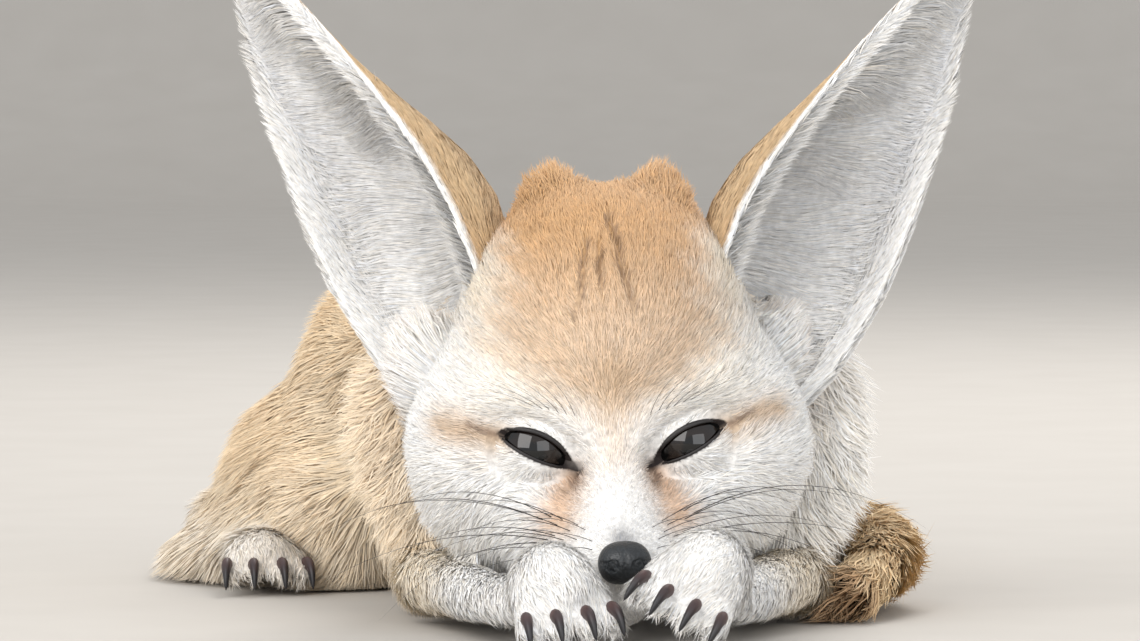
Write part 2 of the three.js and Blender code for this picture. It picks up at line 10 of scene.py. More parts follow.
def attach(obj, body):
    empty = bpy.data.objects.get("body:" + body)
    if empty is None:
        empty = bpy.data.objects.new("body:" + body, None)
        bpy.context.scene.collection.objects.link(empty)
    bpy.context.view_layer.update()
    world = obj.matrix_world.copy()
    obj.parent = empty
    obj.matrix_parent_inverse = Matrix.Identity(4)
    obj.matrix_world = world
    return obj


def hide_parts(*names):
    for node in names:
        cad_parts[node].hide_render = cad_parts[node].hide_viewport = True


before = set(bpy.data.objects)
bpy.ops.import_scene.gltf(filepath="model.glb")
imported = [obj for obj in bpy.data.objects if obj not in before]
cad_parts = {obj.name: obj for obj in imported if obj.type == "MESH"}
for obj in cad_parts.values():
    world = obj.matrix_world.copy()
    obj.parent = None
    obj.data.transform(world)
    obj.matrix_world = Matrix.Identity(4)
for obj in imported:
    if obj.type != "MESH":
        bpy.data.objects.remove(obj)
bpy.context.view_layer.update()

# Skin
# The fox's hide, from nose to tail tip in one piece so that no seam shows. It is a tanned skin
# drawn over a carved form, and it lies under the hair tips by the depth of the coat.

MM = 0.001
FACE = np.array([20.0, -120.0, 38.0])  # between the eyes, in millimetres
SIDES = {"right": -1, "left": 1}


def turned(x=0.0, y=0.0, z=0.0):
    """A turn by angles in degrees: about Z first, then Y, then X."""
    turns = [Matrix.Rotation(math.radians(a), 3, axis) for a, axis in ((x, "X"), (y, "Y"), (z, "Z"))]
    return np.array(turns[0] @ turns[1] @ turns[2])


class Form:
    """A rounded form: field(points) is negative inside it, and balls fill it roughly."""

    def __init__(self, field, balls):
        self.field = field
        self.balls = balls

    def placed(self, origin, axes=np.eye(3)):
        origin = np.array(origin, float)
        balls = [(origin + axes @ c, axes @ a, half) for c, a, half in self.balls]
        return Form(lambda p: self.field((p - origin) @ axes), balls)

    def paired(self):
        mirror = np.diag([-1.0, 1.0, 1.0])
        others = [(mirror @ c, mirror @ a @ mirror, half) for c, a, half in self.balls]
        return Form(lambda p: self.field(np.abs(p) * [1, 0, 0] + p * [0, 1, 1]), self.balls + others)


def egg(centre, half, lean=(0, 0, 0)):
    centre = np.array(centre, float)
    half = np.array(half, float)
    axes = turned(*lean)

    def field(p):
        q = (p - centre) @ axes / half
        reach = np.linalg.norm(q, axis=1)
        slope = np.linalg.norm(q / half, axis=1)
        return reach * (reach - 1) / np.maximum(slope, 1e-9)

    return Form(field, [(centre, axes, half)])


def rope(points, radii):
    """A round form that follows a line of points, with a radius at each."""
    points = np.array(points, float)
    radii = np.array(radii, float)

    def field(p):
        best = np.full(len(p), 1e3)
        for a, b, ra, rb in zip(points[:-1], points[1:], radii[:-1], radii[1:]):
            way = b - a
            t = np.clip((p - a) @ way / (way @ way), 0, 1)
            gap = np.linalg.norm(p - a - t[:, None] * way, axis=1)
            best = np.minimum(best, gap - ra - (rb - ra) * t)
        return best

    balls = []
    for a, b, ra, rb in zip(points[:-1], points[1:], radii[:-1], radii[1:]):
        steps = max(1, math.ceil(np.linalg.norm(b - a) / (0.4 * min(ra, rb))))
        for i in range(steps + 1):
            t = i / steps
            balls.append((a + (b - a) * t, np.eye(3), np.full(3, ra + (rb - ra) * t)))
    return Form(field, balls)


def softer(a, b, k):
    h = np.maximum(k - np.abs(a - b), 0) / k
    return np.minimum(a, b) - h * h * k / 4


def melt(k, *forms):
    def field(p):
        total = forms[0].field(p)
        for form in forms[1:]:
            total = softer(total, form.field(p), k)
        return total

    return Form(field, [ball for form in forms for ball in form.balls])


def hollow(k, form, tool):
    return Form(lambda p: -softer(-form.field(p), tool.field(p), k), form.balls)


def spline(points, count):
    """Points evenly spaced in parameter on a smooth line through the given ones."""
    points = np.array(points, float)
    ends = np.vstack([2 * points[0] - points[1], points, 2 * points[-1] - points[-2]])
    t = np.linspace(0, len(points) - 1, count)
    i = np.minimum(t.astype(int), len(points) - 2)
    f = (t - i)[:, None]
    a, b, c, d = (ends[i + n] for n in range(4))
    return 0.5 * (2 * b + (c - a) * f + (2 * a - 5 * b + 4 * c - d) * f**2 + (3 * b - a - 3 * c + d) * f**3)


# The head's own frame: origin between the eyes, x to the fox's left, y back, z up
HEAD_TURN = turned(y=-2.3) @ turned(z=3)
EYE_SIDE = 15.5
EYE_BACK = 6.2
EYE_RADIUS = 8.3
EYE_SLANT = 27
EYE_HALF = (8.0, 2.5)
EYE_ARCH = 0.8  # how far the middle of the opening stands above its two corners
LID_THICKNESS = 0.7

skull = melt(
    12,
    egg([0, 24, 24], [30, 32, 29]),
    egg([0, 13, 18], [24, 17, 29]),
    egg([22.5, 17, -1], [19.5, 19, 22.5]).paired(),
)
muzzle = melt(
    7,
    rope([[0, 5, -6], [0, -18.5, -21]], [12, 6.2]),
    rope([[5, 0, -20], [6.5, -14, -24]], [8, 7]).paired(),
    egg([12.5, 5, -17], [11, 14, 11]).paired(),
    rope([[0, 8, -26], [0, -15.5, -31]], [10, 4.4]),
)
ear_roots = egg([29, 33, 8], [13, 10, 20], (0, 27, 0)).paired()
crown_tufts = melt(3, egg([-8.5, 27, 44.6], [8, 9, 11]), egg([12.5, 27, 43.8], [8.6, 9, 11]))
brows = egg([15, 2.5, 8.5], [11, 5, 4], (0, -EYE_SLANT, 0)).paired()
sockets = egg([EYE_SIDE, -5.5, -0.5], [9, 5.2, 4.6], (0, -EYE_SLANT, 0)).paired()
face = hollow(4, melt(7, melt(10, skull, muzzle), brows, melt(8, ear_roots, crown_tufts)), sockets)
lids = egg([EYE_SIDE, EYE_BACK, 0], [EYE_RADIUS + LID_THICKNESS] * 3).paired()


def smooth(low, high, value):
    t = np.clip((value - low) / (high - low), 0, 1)
    return t * t * (3 - 2 * t)


def bump(p, centre, size):
    """1 at a place and falling off round it, over a size in each direction."""
    return np.exp(-(((p - np.array(centre)) / np.array(size)) ** 2).sum(axis=1))


def head_local(p):
    return (p - FACE) @ HEAD_TURN


def head_depth(q):
    """How deep the coat is on each part of the head."""
    both = np.abs(q) * [1, 0, 0] + q * [0, 1, 1]
    depth = 0.7 + 1.3 * smooth(-14, 4, q[:, 1]) + 1.4 * smooth(14, 40, q[:, 1])
    depth += 1.6 * bump(both, (30, 18, -8), (11, 16, 15))
    return depth + 0.4 * bump(both, (11, 26, 50), (14, 18, 12))


def head_skin(q):
    return softer(face.field(q) + head_depth(q), lids.field(q), 2.0)


head = Form(head_skin, face.balls).placed(FACE, HEAD_TURN)

torso = melt(
    16,
    egg([20, -46, 37], [42, 38, 40]),
    egg([6, -6, 37], [43, 50, 41]),
    egg([-10, 38, 38], [43, 46, 42]),
    egg([-20, 76, 32], [35, 31, 34]),
)
neck = melt(14, rope([[20, -84, 52], [20, -58, 46]], [34, 38]), egg([20, -72, 28], [33, 26, 26]))

RUFF_LINE = [[33, -76, 66], [43, -74, 50], [43, -79, 31], [32, -88, 15]]
RUFF_RADIUS = [6, 8.5, 9, 6]


def at_side(point, side):
    return [FACE[0] + side * point[0], point[1], point[2]]


PAWS = {
    "right": ([9.5, -158, 0.6], turned(z=14) @ turned(y=-6)),
    "left": ([32.5, -160.5, 4.8], turned(z=-14) @ turned(y=27)),
}
TOES = [-7.6, -2.7, 2.7, 7.6]


def toe_reach(x):
    return -11.5 + 0.028 * x * x


paw = melt(
    3,
    egg([0, 1, 11], [9.8, 13, 11]),
    *(rope([[x * 0.8, -4, 10], [x * 1.12, toe_reach(x), 5.4]], [4.4, 3.5]) for x in TOES),
)
ELBOW = [37, -86, 9]
WRIST = [24, -133, 8.5]

HIPS = np.array([-12.0, 45.0, 0.0])
HIP_TURN = turned(z=17)
SPREAD = {"right": 1.0, "left": 0.74}
KNEE = [40, -30, 18]
HEEL = [43, 46, 9]
HIND_TOES = [55, -34, 7]
foot = melt(
    3,
    rope([[0, 80, 9], [0, 12, 7.5]], [8, 6.5]),
    egg([0, 3, 7.5], [9, 13, 7]),
    *(rope([[x * 0.8, -2, 7], [x, toe_reach(x) + 1, 4.6]], [3.8, 3.2]) for x in TOES),
)

TAIL_POINTS = [
    [-18, 92, 22],
    [0, 122, 17],
    [34, 122, 15],
    [58, 96, 14.5],
    [62, 60, 14.5],
    [62, 24, 14],
    [68, -8, 13],
    [74, -36, 11.5],
    [75, -58, 10],
    [71, -78, 8],
]
TAIL_BRUSH = [12, 13.5, 14, 14, 14, 14, 13.5, 12.5, 10, 5]
TAIL_FLESH = 0.5  # how much of the brush is tail, under the hair
tail_line = spline(TAIL_POINTS, 60)
tail_reach = np.interp(np.linspace(0, 9, 60), range(10), TAIL_BRUSH)

# Each part's form out to the hair tips, how deep its coat is, and how it melts into the rest
parts = {
    "head": (head, 0.0, 8),
    "torso": (torso, 6.0, 8),
    "neck": (neck, 6.0, 8),
    "tail": (rope(tail_line, tail_reach * TAIL_FLESH), 0.0, 3),
}
feet = {}
for word, side in SIDES.items():
    parts["ruff_" + word] = (
        rope(spline([at_side(p, side) for p in RUFF_LINE], 10), np.interp(np.linspace(0, 3, 10), range(4), RUFF_RADIUS)),
        5.0,
        8,
    )
    parts["shoulder_" + word] = (egg(at_side([34, -60, 26], side), [19, 27, 33], (-14, side * 6, 0)), 5.0, 8)
    origin, axes = PAWS[word]
    knuckle = np.array(origin) + axes @ np.array([0, 3, 9])
    elbow = np.array(at_side(ELBOW, side), float)
    wrist = np.array(at_side(WRIST, side), float)
    arm = spline([elbow, (elbow + wrist) / 2, wrist, knuckle], 12)
    parts["forearm_" + word] = (rope(arm, np.interp(np.linspace(0, 1.5, 12), [0, 1], [9, 7.2])), 2.4, 2)
    parts["paw_" + word] = (paw.placed(origin, axes), 1.2, 2)
    spread = SPREAD[word]
    thigh = egg([side * 34, -5, 18], [23, 41, 33], (10, -side * 18, 0))
    skirt = egg([side * 38 * spread, 6, 6], [29, 46, 14], (0, 0, side * 8))
    parts["haunch_" + word] = (melt(14, thigh, skirt).placed(HIPS, HIP_TURN), 6.0, 6)
    knee, heel, toes = (np.array([side * x * spread, y, z], float) for x, y, z in (KNEE, HEEL, HIND_TOES))
    parts["shank_" + word] = (rope([knee, heel], [11, 9]).placed(HIPS, HIP_TURN), 3.0, 3)
    yaw = math.degrees(math.atan2(toes[0] - heel[0], heel[1] - toes[1]))
    feet[word] = (HIPS + HIP_TURN @ (toes * [1, 1, 0]), HIP_TURN @ turned(z=yaw))
    parts["foot_" + word] = (foot.placed(*feet[word]), 1.4, 2)

FLOOR_LIFT = 1.0


BOX_MARGIN = 12.0


def part_boxes():
    """The corners of a box round each part, with room for what melts into it."""
    boxes = {}
    for name, (form, _, _) in parts.items():
        centres = np.array([c for c, _, _ in form.balls])
        reach = np.array([max(half) for _, _, half in form.balls])[:, None] + BOX_MARGIN
        boxes[name] = (centres - reach).min(axis=0), (centres + reach).max(axis=0)
    return boxes


boxes = part_boxes()


def part_distance(name, p):
    """Each place's distance from a part's skin, or far for one outside its box."""
    form, depth, _ = parts[name]
    low, high = boxes[name]
    near = ((p > low) & (p < high)).all(axis=1)
    d = np.full(len(p), 60.0)
    if near.any():
        d[near] = form.field(p[near]) + depth
    return d


def hide_field(p):
    total = None
    for name, (_, _, k) in parts.items():
        d = part_distance(name, p)
        total = d if total is None else softer(total, d, k)
    return -softer(-total, -(FLOOR_LIFT - p[:, 2]), 2.0)


def slope_of(field, p, d, step=0.15):
    ways = [(field(p + step * np.eye(3)[i]) - d) / step for i in range(3)]
    return np.stack(ways, axis=1)


def drawn_onto(field, p, rounds):
    for _ in range(rounds):
        d = field(p)
        way = slope_of(field, p, d)
        size = np.maximum((way**2).sum(axis=1), 0.05)
        move = np.clip(d / size, -2.5, 2.5)[:, None] * way
        p = p - move
    return p


def points_of(bm):
    return np.array([v.co[:] for v in bm.verts]) / MM


def set_points(bm, p):
    for v, co in zip(bm.verts, (p * MM).tolist()):
        v.co = co


def new_object(name, mesh):
    piece = bpy.data.objects.new(name, mesh)
    bpy.context.scene.collection.objects.link(piece)
    return piece


VOXEL = 1.5
rough = bmesh.new()
for form, depth, _ in parts.values():
    for centre, axes, half in form.balls:
        size = np.maximum(half - depth, 1.5)
        place = Matrix.Translation(centre * MM) @ Matrix((axes * size * MM).tolist()).to_4x4()
        bmesh.ops.create_icosphere(rough, subdivisions=3 if min(size) > 12 else 2, radius=1, matrix=place)
rough_mesh = bpy.data.meshes.new("rough")
rough.to_mesh(rough_mesh)
rough.free()
rough_piece = new_object("rough", rough_mesh)
remesh = rough_piece.modifiers.new("remesh", "REMESH")
remesh.mode = "VOXEL"
remesh.voxel_size = VOXEL * MM
whole = rough_piece.evaluated_get(bpy.context.evaluated_depsgraph_get()).to_mesh()
hide = bmesh.new()
hide.from_mesh(whole)
bpy.data.objects.remove(rough_piece)
bpy.data.meshes.remove(rough_mesh)

hide.verts.ensure_lookup_table()
loose = set(hide.verts)
islands = []
while loose:
    island = {loose.pop()}
    edge_of = list(island)
    while edge_of:
        v = edge_of.pop()
        for e in v.link_edges:
            w = e.other_vert(v)
            if w in loose:
                loose.discard(w)
                island.add(w)
                edge_of.append(w)
    islands.append(island)
biggest = max(islands, key=len)
bmesh.ops.delete(hide, geom=[v for v in hide.verts if v not in biggest], context="VERTS")
set_points(hide, drawn_onto(hide_field, points_of(hide), 4))
for _ in range(2):
    bmesh.ops.smooth_vert(hide, verts=hide.verts, factor=0.5, use_axis_x=True, use_axis_y=True, use_axis_z=True)
set_points(hide, drawn_onto(hide_field, points_of(hide), 2))

# Finer faces round each eye, and an almond opening between the lids
eye_places = {word: FACE + HEAD_TURN @ np.array([side * EYE_SIDE, EYE_BACK, 0]) for word, side in SIDES.items()}


def in_almond(q, half):
    """Under 1 inside an eye's opening, seen from in front, in the head's own frame."""
    slant = math.radians(EYE_SLANT)
    dx = np.abs(q[:, 0]) - EYE_SIDE
    along = (dx * math.cos(slant) + q[:, 2] * math.sin(slant)) / half[0]
    arch = EYE_ARCH * (1 - np.minimum(along**2, 1))
    lift = (q[:, 2] * math.cos(slant) - dx * math.sin(slant) - arch) / half[1]
    return along**2 + (lift / (1 - 0.25 * np.minimum(along**2, 1))) ** 2


for _ in range(2):
    p = points_of(hide)
    near = np.min([np.linalg.norm(p - c, axis=1) for c in eye_places.values()], axis=0) < 12
    near &= head_local(p)[:, 1] < 5
    hide.verts.ensure_lookup_table()
    chosen = {v for v, n in zip(hide.verts, near) if n}
    edges = [e for e in hide.edges if e.verts[0] in chosen and e.verts[1] in chosen]
    bmesh.ops.subdivide_edges(hide, edges=edges, cuts=1, use_grid_fill=True)
p = points_of(hide)
near = np.min([np.linalg.norm(p - c, axis=1) for c in eye_places.values()], axis=0) < 15
p[near] = drawn_onto(hide_field, p[near], 3)
q = head_local(p)
opening = near & (in_almond(q, EYE_HALF) < 1) & (q[:, 1] < 4)
for word, side in SIDES.items():
    mine = opening & (q[:, 0] * side > 0)
    way = p[mine] - eye_places[word]
    p[mine] = eye_places[word] + way / np.linalg.norm(way, axis=1)[:, None] * (EYE_RADIUS - 1.6)
set_points(hide, p)
bmesh.ops.triangulate(hide, faces=hide.faces)

# The two ears, each a long cup, curled deep at its root and flat at its tip
EAR_STANCE = {
    "right": (np.array([-12.3, -98, 50.7]), np.array([-56.9, -84, 139.3]), 45),
    "left": (np.array([48.3, -98, 49.7]), np.array([92.4, -84, 138.5]), 32),
}
EAR_WIDTH = [14, 18, 20, 21, 20, 18, 16, 13.2, 9.8, 5.8, 1.2]
EAR_CURL = [95, 100, 104, 106, 104, 95, 80, 62, 50, 42, 36]
EAR_SKIN = 1.0


def ear_axes(word):
    base, tip, facing = EAR_STANCE[word]
    up = (tip - base) / np.linalg.norm(tip - base)
    turn = math.radians(facing) * np.sign(up[0])
    across = np.cross([-math.sin(turn), math.cos(turn), 0], up)
    across /= np.linalg.norm(across)
    return np.stack([across, -np.cross(across, up), up], axis=1)


def ear_profile(h):
    steps = np.linspace(0, 1, len(EAR_WIDTH))
    curl = np.radians(np.interp(h, steps, EAR_CURL))
    radius = np.interp(h, steps, EAR_WIDTH) / np.sin(np.minimum(curl, math.pi / 2))
    return curl, radius


def ear_point(word, u, h, out):
    """A place on an ear: u from rim to rim, h from root to tip, out through its wall."""
    base, tip, _ = EAR_STANCE[word]
    curl, radius = ear_profile(h)
    reach = radius + out
    local = [
        reach * np.sin(u * curl),
        reach * np.cos(u * curl) - radius * np.cos(curl),
        h * np.linalg.norm(tip - base),
    ]
    return base + np.stack(local, axis=1) @ ear_axes(word).T


def ear_coords(word, p):
    base, tip, _ = EAR_STANCE[word]
    local = (p - base) @ ear_axes(word)
    h = local[:, 2] / np.linalg.norm(tip - base)
    curl, radius = ear_profile(h)
    y = local[:, 1] + radius * np.cos(curl)
    return np.arctan2(local[:, 0], y) / curl, h, np.hypot(local[:, 0], y) - radius


body_faces = len(hide.faces)
for word in SIDES:
    cup = bmesh.new()
    bmesh.ops.create_grid(cup, x_segments=26, y_segments=56, size=1)
    g = np.array([v.co[:] for v in cup.verts])
    u = g[:, 0]
    h = (g[:, 1] + 1) / 2 * 1.03 - 0.04
    set_points(cup, ear_point(word, u * 0.98, h, np.full(len(g), -0.8)))
    cup.faces.ensure_lookup_table()
    middle = cup.faces[len(cup.faces) // 2]
    there = np.array(middle.calc_center_median()) / MM
    at_u, at_h, at_out = (np.atleast_1d(v) for v in ear_coords(word, there[None]))
    outward = Vector((ear_point(word, at_u, at_h, at_out + 1) - ear_point(word, at_u, at_h, at_out))[0])
    middle.normal_update()
    if middle.normal.dot(outward) < 0:
        bmesh.ops.reverse_faces(cup, faces=cup.faces)
    cup.normal_update()
    bmesh.ops.solidify(cup, geom=cup.faces, thickness=EAR_SKIN * MM)
    bmesh.ops.recalc_face_normals(cup, faces=cup.faces)
    bmesh.ops.triangulate(cup, faces=cup.faces)
    cup_mesh = bpy.data.meshes.new("cup")
    cup.to_mesh(cup_mesh)
    cup.free()
    hide.from_mesh(cup_mesh)
    bpy.data.meshes.remove(cup_mesh)

skin_mesh = bpy.data.meshes.new("skin")
hide.to_mesh(skin_mesh)
hide.free()
skin = new_object("skin", skin_mesh)
bpy.context.view_layer.objects.active = skin
skin.select_set(True)
skin_mesh.uv_layers.new(name="OFBake")
bpy.ops.object.mode_set(mode="EDIT")
bpy.ops.mesh.select_all(action="SELECT")
bpy.ops.uv.smart_project(angle_limit=1.15, island_margin=0.001)
bpy.ops.object.mode_set(mode="OBJECT")
skin_mesh.polygons.foreach_set("use_smooth", np.ones(len(skin_mesh.polygons), bool))

# Markings
# The fox's own colours, which the skin and every tuft share: an orange crown that runs down the
# brow, white cheeks, tan marks at the eyes, sandy back, cream flanks, white legs, tan brush. Painted
# shade darkens the partings on the forehead and the hollows of the ear cups.


def paint(red, green, blue):
    """A named colour, from the numbers a paint chart gives to the light that it returns."""
    c = np.array([red, green, blue]) / 255
    return np.where(c <= 0.04045, c / 12.92, ((c + 0.055) / 1.055) ** 2.4)


WHITE = paint(246, 244, 241)
CREAM = paint(240, 228, 208)
BUFF = paint(222, 196, 168)
ORANGE = paint(200, 156, 106)
SAND = paint(234, 207, 168)
TAN = paint(192, 156, 112)
STREAK = paint(214, 174, 138)
UMBER = paint(96, 66, 46)
SMOKE = paint(120, 120, 124)
EAR_TAN = paint(198, 168, 128)
# The grey of the painted shade in the ear cups
EAR_CUP_SHADE = paint(214, 213, 213)
BRUSH = paint(228, 199, 154)
BRUSH_TIP = paint(176, 140, 100)
RIM_BROWN = paint(40, 32, 30)


def mix(a, b, t):
    return a + (b - a) * np.broadcast_to(np.clip(t, 0, 1), len(a))[:, None]


def near_line(p, start, end, size):
    """1 on a line between two places, falling off beside it."""
    start, end = np.array(start, float), np.array(end, float)
    way = end - start
    t = np.clip((p - start) @ way / (way @ way), 0, 1)
    gap = np.linalg.norm(p - start - t[:, None] * way, axis=1)
    return np.exp(-((gap / size) ** 2))


PARTINGS = [((-6.4, 25), (-4.0, 39.5)), ((4.9, 26), (0.9, 44.5)), ((-1.4, 31), (-1.6, 38))]


def tear_corner(q):
    """1 in the bare inner corner of each eye, where the two lids meet."""
    return near_line(np.stack([np.abs(q[:, 0]), q[:, 2]], axis=1), (8.8, -3.4), (6.8, -4.5), 1.0) * (q[:, 1] < 4)


def head_colour(q):
    side = np.abs(q[:, 0])
    z = q[:, 2]
    front = np.stack([side, z], axis=1)
    colour = np.tile(WHITE, (len(q), 1))
    colour = mix(colour, CREAM, 0.55 * smooth(2, 16, z) * smooth(36, 18, side))
    width = np.interp(z, [2, 8, 13, 18, 24, 32, 40, 50], [3.5, 7, 14, 21, 22, 21, 22, 28])
    width = width + 1.6 * np.sin(z * 0.9 + 0.7 * q[:, 0]) + 1.2 * np.sin(z * 2.3 - q[:, 0])
    crown = smooth(width + 10, width - 9, side) * smooth(-1, 12, z)
    colour = mix(colour, mix(np.tile(BUFF, (len(q), 1)), ORANGE, smooth(16, 46, z)), crown)
    colour = mix(colour, TAN, 0.4 * near_line(front, (0, 8), (0, 14), 3.5))
    colour = mix(colour, BUFF, 0.5 * near_line(front, (0, -1), (0, 8), 4.5))
    behind = smooth(26, 40, q[:, 1]) * smooth(-12, 14, z)
    colour = mix(colour, ORANGE, 0.8 * behind)
    colour = mix(colour, CREAM, 0.9 * bump(np.c_[side, q[:, 1:]], (25, 18, 33), (4.5, 30, 8)))
    colour = mix(colour, TAN, 0.75 * near_line(front, (23.5, 2.6), (30.5, 4.6), 3.6) * smooth(30, 16, q[:, 1]))
    colour = mix(colour, UMBER, 0.6 * near_line(front, (23.4, 3.4), (25.6, 4.2), 0.9))
    colour = mix(colour, STREAK, 0.85 * near_line(front, (8.2, -6), (11.5, -14.0), 3.1) * smooth(6, 0, q[:, 1]))
    colour = mix(colour, UMBER, 0.75 * near_line(front, (7.6, -4.6), (8.0, -7.4), 1.2))
    colour = mix(colour, SMOKE, 0.75 * bump(q, (0, -23, -17.2), (2.6, 8, 2.6)))
    lid = in_almond(q, (EYE_HALF[0] + 0.6, EYE_HALF[1] + 0.6))
    colour = mix(colour, RIM_BROWN, smooth(1.0, 0.9, lid) * smooth(8, 4, q[:, 1]))
    colour = mix(colour, RIM_BROWN, 1.3 * tear_corner(q))
    # Painted shade: thin dark lines along the partings on the forehead, where the locks part.
    flat = np.stack([q[:, 0] + 0.2 * np.sin(z * 0.6), z], axis=1)
    for low, high in PARTINGS:
        colour = mix(colour, UMBER, 0.6 * near_line(flat, low, high, 0.36) * smooth(25, 12, q[:, 1]))
    return colour


def part_shares(p):
    """How much each part has to say at each place, and the parts' names."""
    d = np.stack([part_distance(name, p) for name in parts], axis=1)
    share = np.exp(-(d - d.min(axis=1, keepdims=True)) / 2.5)
    return share / share.sum(axis=1, keepdims=True), list(parts)


def body_colour(p):
    over = smooth(22, 70, p[:, 2] + 6 * np.sin(p[:, 1] / 17))
    colour = mix(np.tile(CREAM, (len(p), 1)), SAND, 0.25 + 0.75 * over)
    return mix(colour, ORANGE, 0.3 * smooth(55, 82, p[:, 2]))


def leg_colour(p):
    return mix(np.tile(WHITE, (len(p), 1)), CREAM, smooth(-125, -95, p[:, 1]))


def haunch_colour(p):
    colour = mix(np.tile(CREAM, (len(p), 1)), SAND, 0.3 + 0.7 * smooth(8, 42, p[:, 2]))
    return mix(colour, TAN, 0.25 * smooth(30, 46, p[:, 2]))


def tail_place(p):
    """How far along the tail each place is, from 0 at its root to 1."""
    gaps = ((p[:, None, :] - tail_line[None]) ** 2).sum(axis=2)
    return gaps.argmin(axis=1) / (len(tail_line) - 1)


def tail_colour(p):
    t = tail_place(p)
    colour = mix(np.tile(SAND, (len(p), 1)), BRUSH, smooth(0.0, 0.25, t))
    return mix(colour, BRUSH_TIP, smooth(0.94, 1.0, t))


def neck_colour(p):
    side = np.abs(p[:, 0] - FACE[0])
    colour = mix(np.tile(WHITE, (len(p), 1)), CREAM, 0.2 + 0.6 * smooth(30, 0, p[:, 0]))
    colour = mix(colour, SAND, 0.6 * smooth(FACE[0] - 26, FACE[0] - 40, p[:, 0]))
    return mix(colour, SAND, smooth(56, 78, p[:, 2]) * smooth(36, 20, side))


COLOURS = {
    "head": lambda p: head_colour(head_local(p)),
    "torso": body_colour,
    "neck": neck_colour,
    "tail": tail_colour,
    "ruff": neck_colour,
    "shoulder": lambda p: mix(neck_colour(p), CREAM, 0.5 * smooth(60, 20, p[:, 2])),
    "forearm": leg_colour,
    "paw": leg_colour,
    "haunch": haunch_colour,
    "shank": haunch_colour,
    "foot": lambda p: mix(haunch_colour(p), WHITE, 0.6),
}


def coat_colour(p):
    shares, names = part_shares(p)
    total = np.zeros((len(p), 3))
    for i, name in enumerate(names):
        mine = shares[:, i] > 0.01
        if mine.any():
            total[mine] += shares[mine, i, None] * COLOURS[name.split("_")[0]](p[mine])
    return total


def ear_colour(u, h, inside, medial):
    """An ear is tan behind, white on its rims and inside, with painted shade grey deep in the cup."""
    m = u * medial
    rim = np.maximum(smooth(0.93, 0.98, m), smooth(0.72, 0.84, -m))
    back = mix(np.tile(EAR_TAN, (len(u), 1)), ORANGE, 0.6 * smooth(0.35, 0.05, h))
    back = mix(back, WHITE, rim)
    # Painted shade: grey over the cup's hollow, heaviest along a furrow in its upper half.
    deep = 0.45 * smooth(0.7, 0.4, m) * smooth(-0.95, -0.7, m) * smooth(0.05, 0.3, h)
    deep += 0.8 * np.exp(-(((m + 0.5) / 0.28) ** 2)) * smooth(0.3, 0.6, h)
    cup = mix(np.tile(WHITE, (len(u), 1)), EAR_CUP_SHADE, deep)
    return np.where(inside[:, None], cup, back)


def add_colour(mesh, colours):
    """Colours with a fourth number, which is 0 at a hair's root and 1 at its tip."""
    layer = mesh.color_attributes.new("coat", "FLOAT_COLOR", "POINT")
    layer.data.foreach_set("color", np.clip(colours, 0, 1).astype(np.float32).ravel())


def ear_of(p):
    """The ear that each place is nearest to."""
    return np.where(p[:, 0] > FACE[0], "left", "right")


skin_points = np.empty(len(skin_mesh.vertices) * 3)
skin_mesh.vertices.foreach_get("co", skin_points)
skin_points = skin_points.reshape(-1, 3) / MM
corners = np.empty(len(skin_mesh.loops), int)
skin_mesh.loops.foreach_get("vertex_index", corners)
triangles = corners.reshape(-1, 3)
ear_triangle = np.arange(len(triangles)) >= body_faces
ear_vertex = np.zeros(len(skin_points), bool)
ear_vertex[np.unique(triangles[ear_triangle])] = True
skin_colour = np.ones((len(skin_points), 4))
skin_colour[~ear_vertex, :3] = coat_colour(skin_points[~ear_vertex])
for word, side in SIDES.items():
    mine = ear_vertex & (ear_of(skin_points) == word)
    u, h, out = ear_coords(word, skin_points[mine])
    skin_colour[mine, :3] = ear_colour(u, h, out < -1.3, -side)
skin_colour[:, 3] = 0.0
add_colour(skin_mesh, skin_colour)


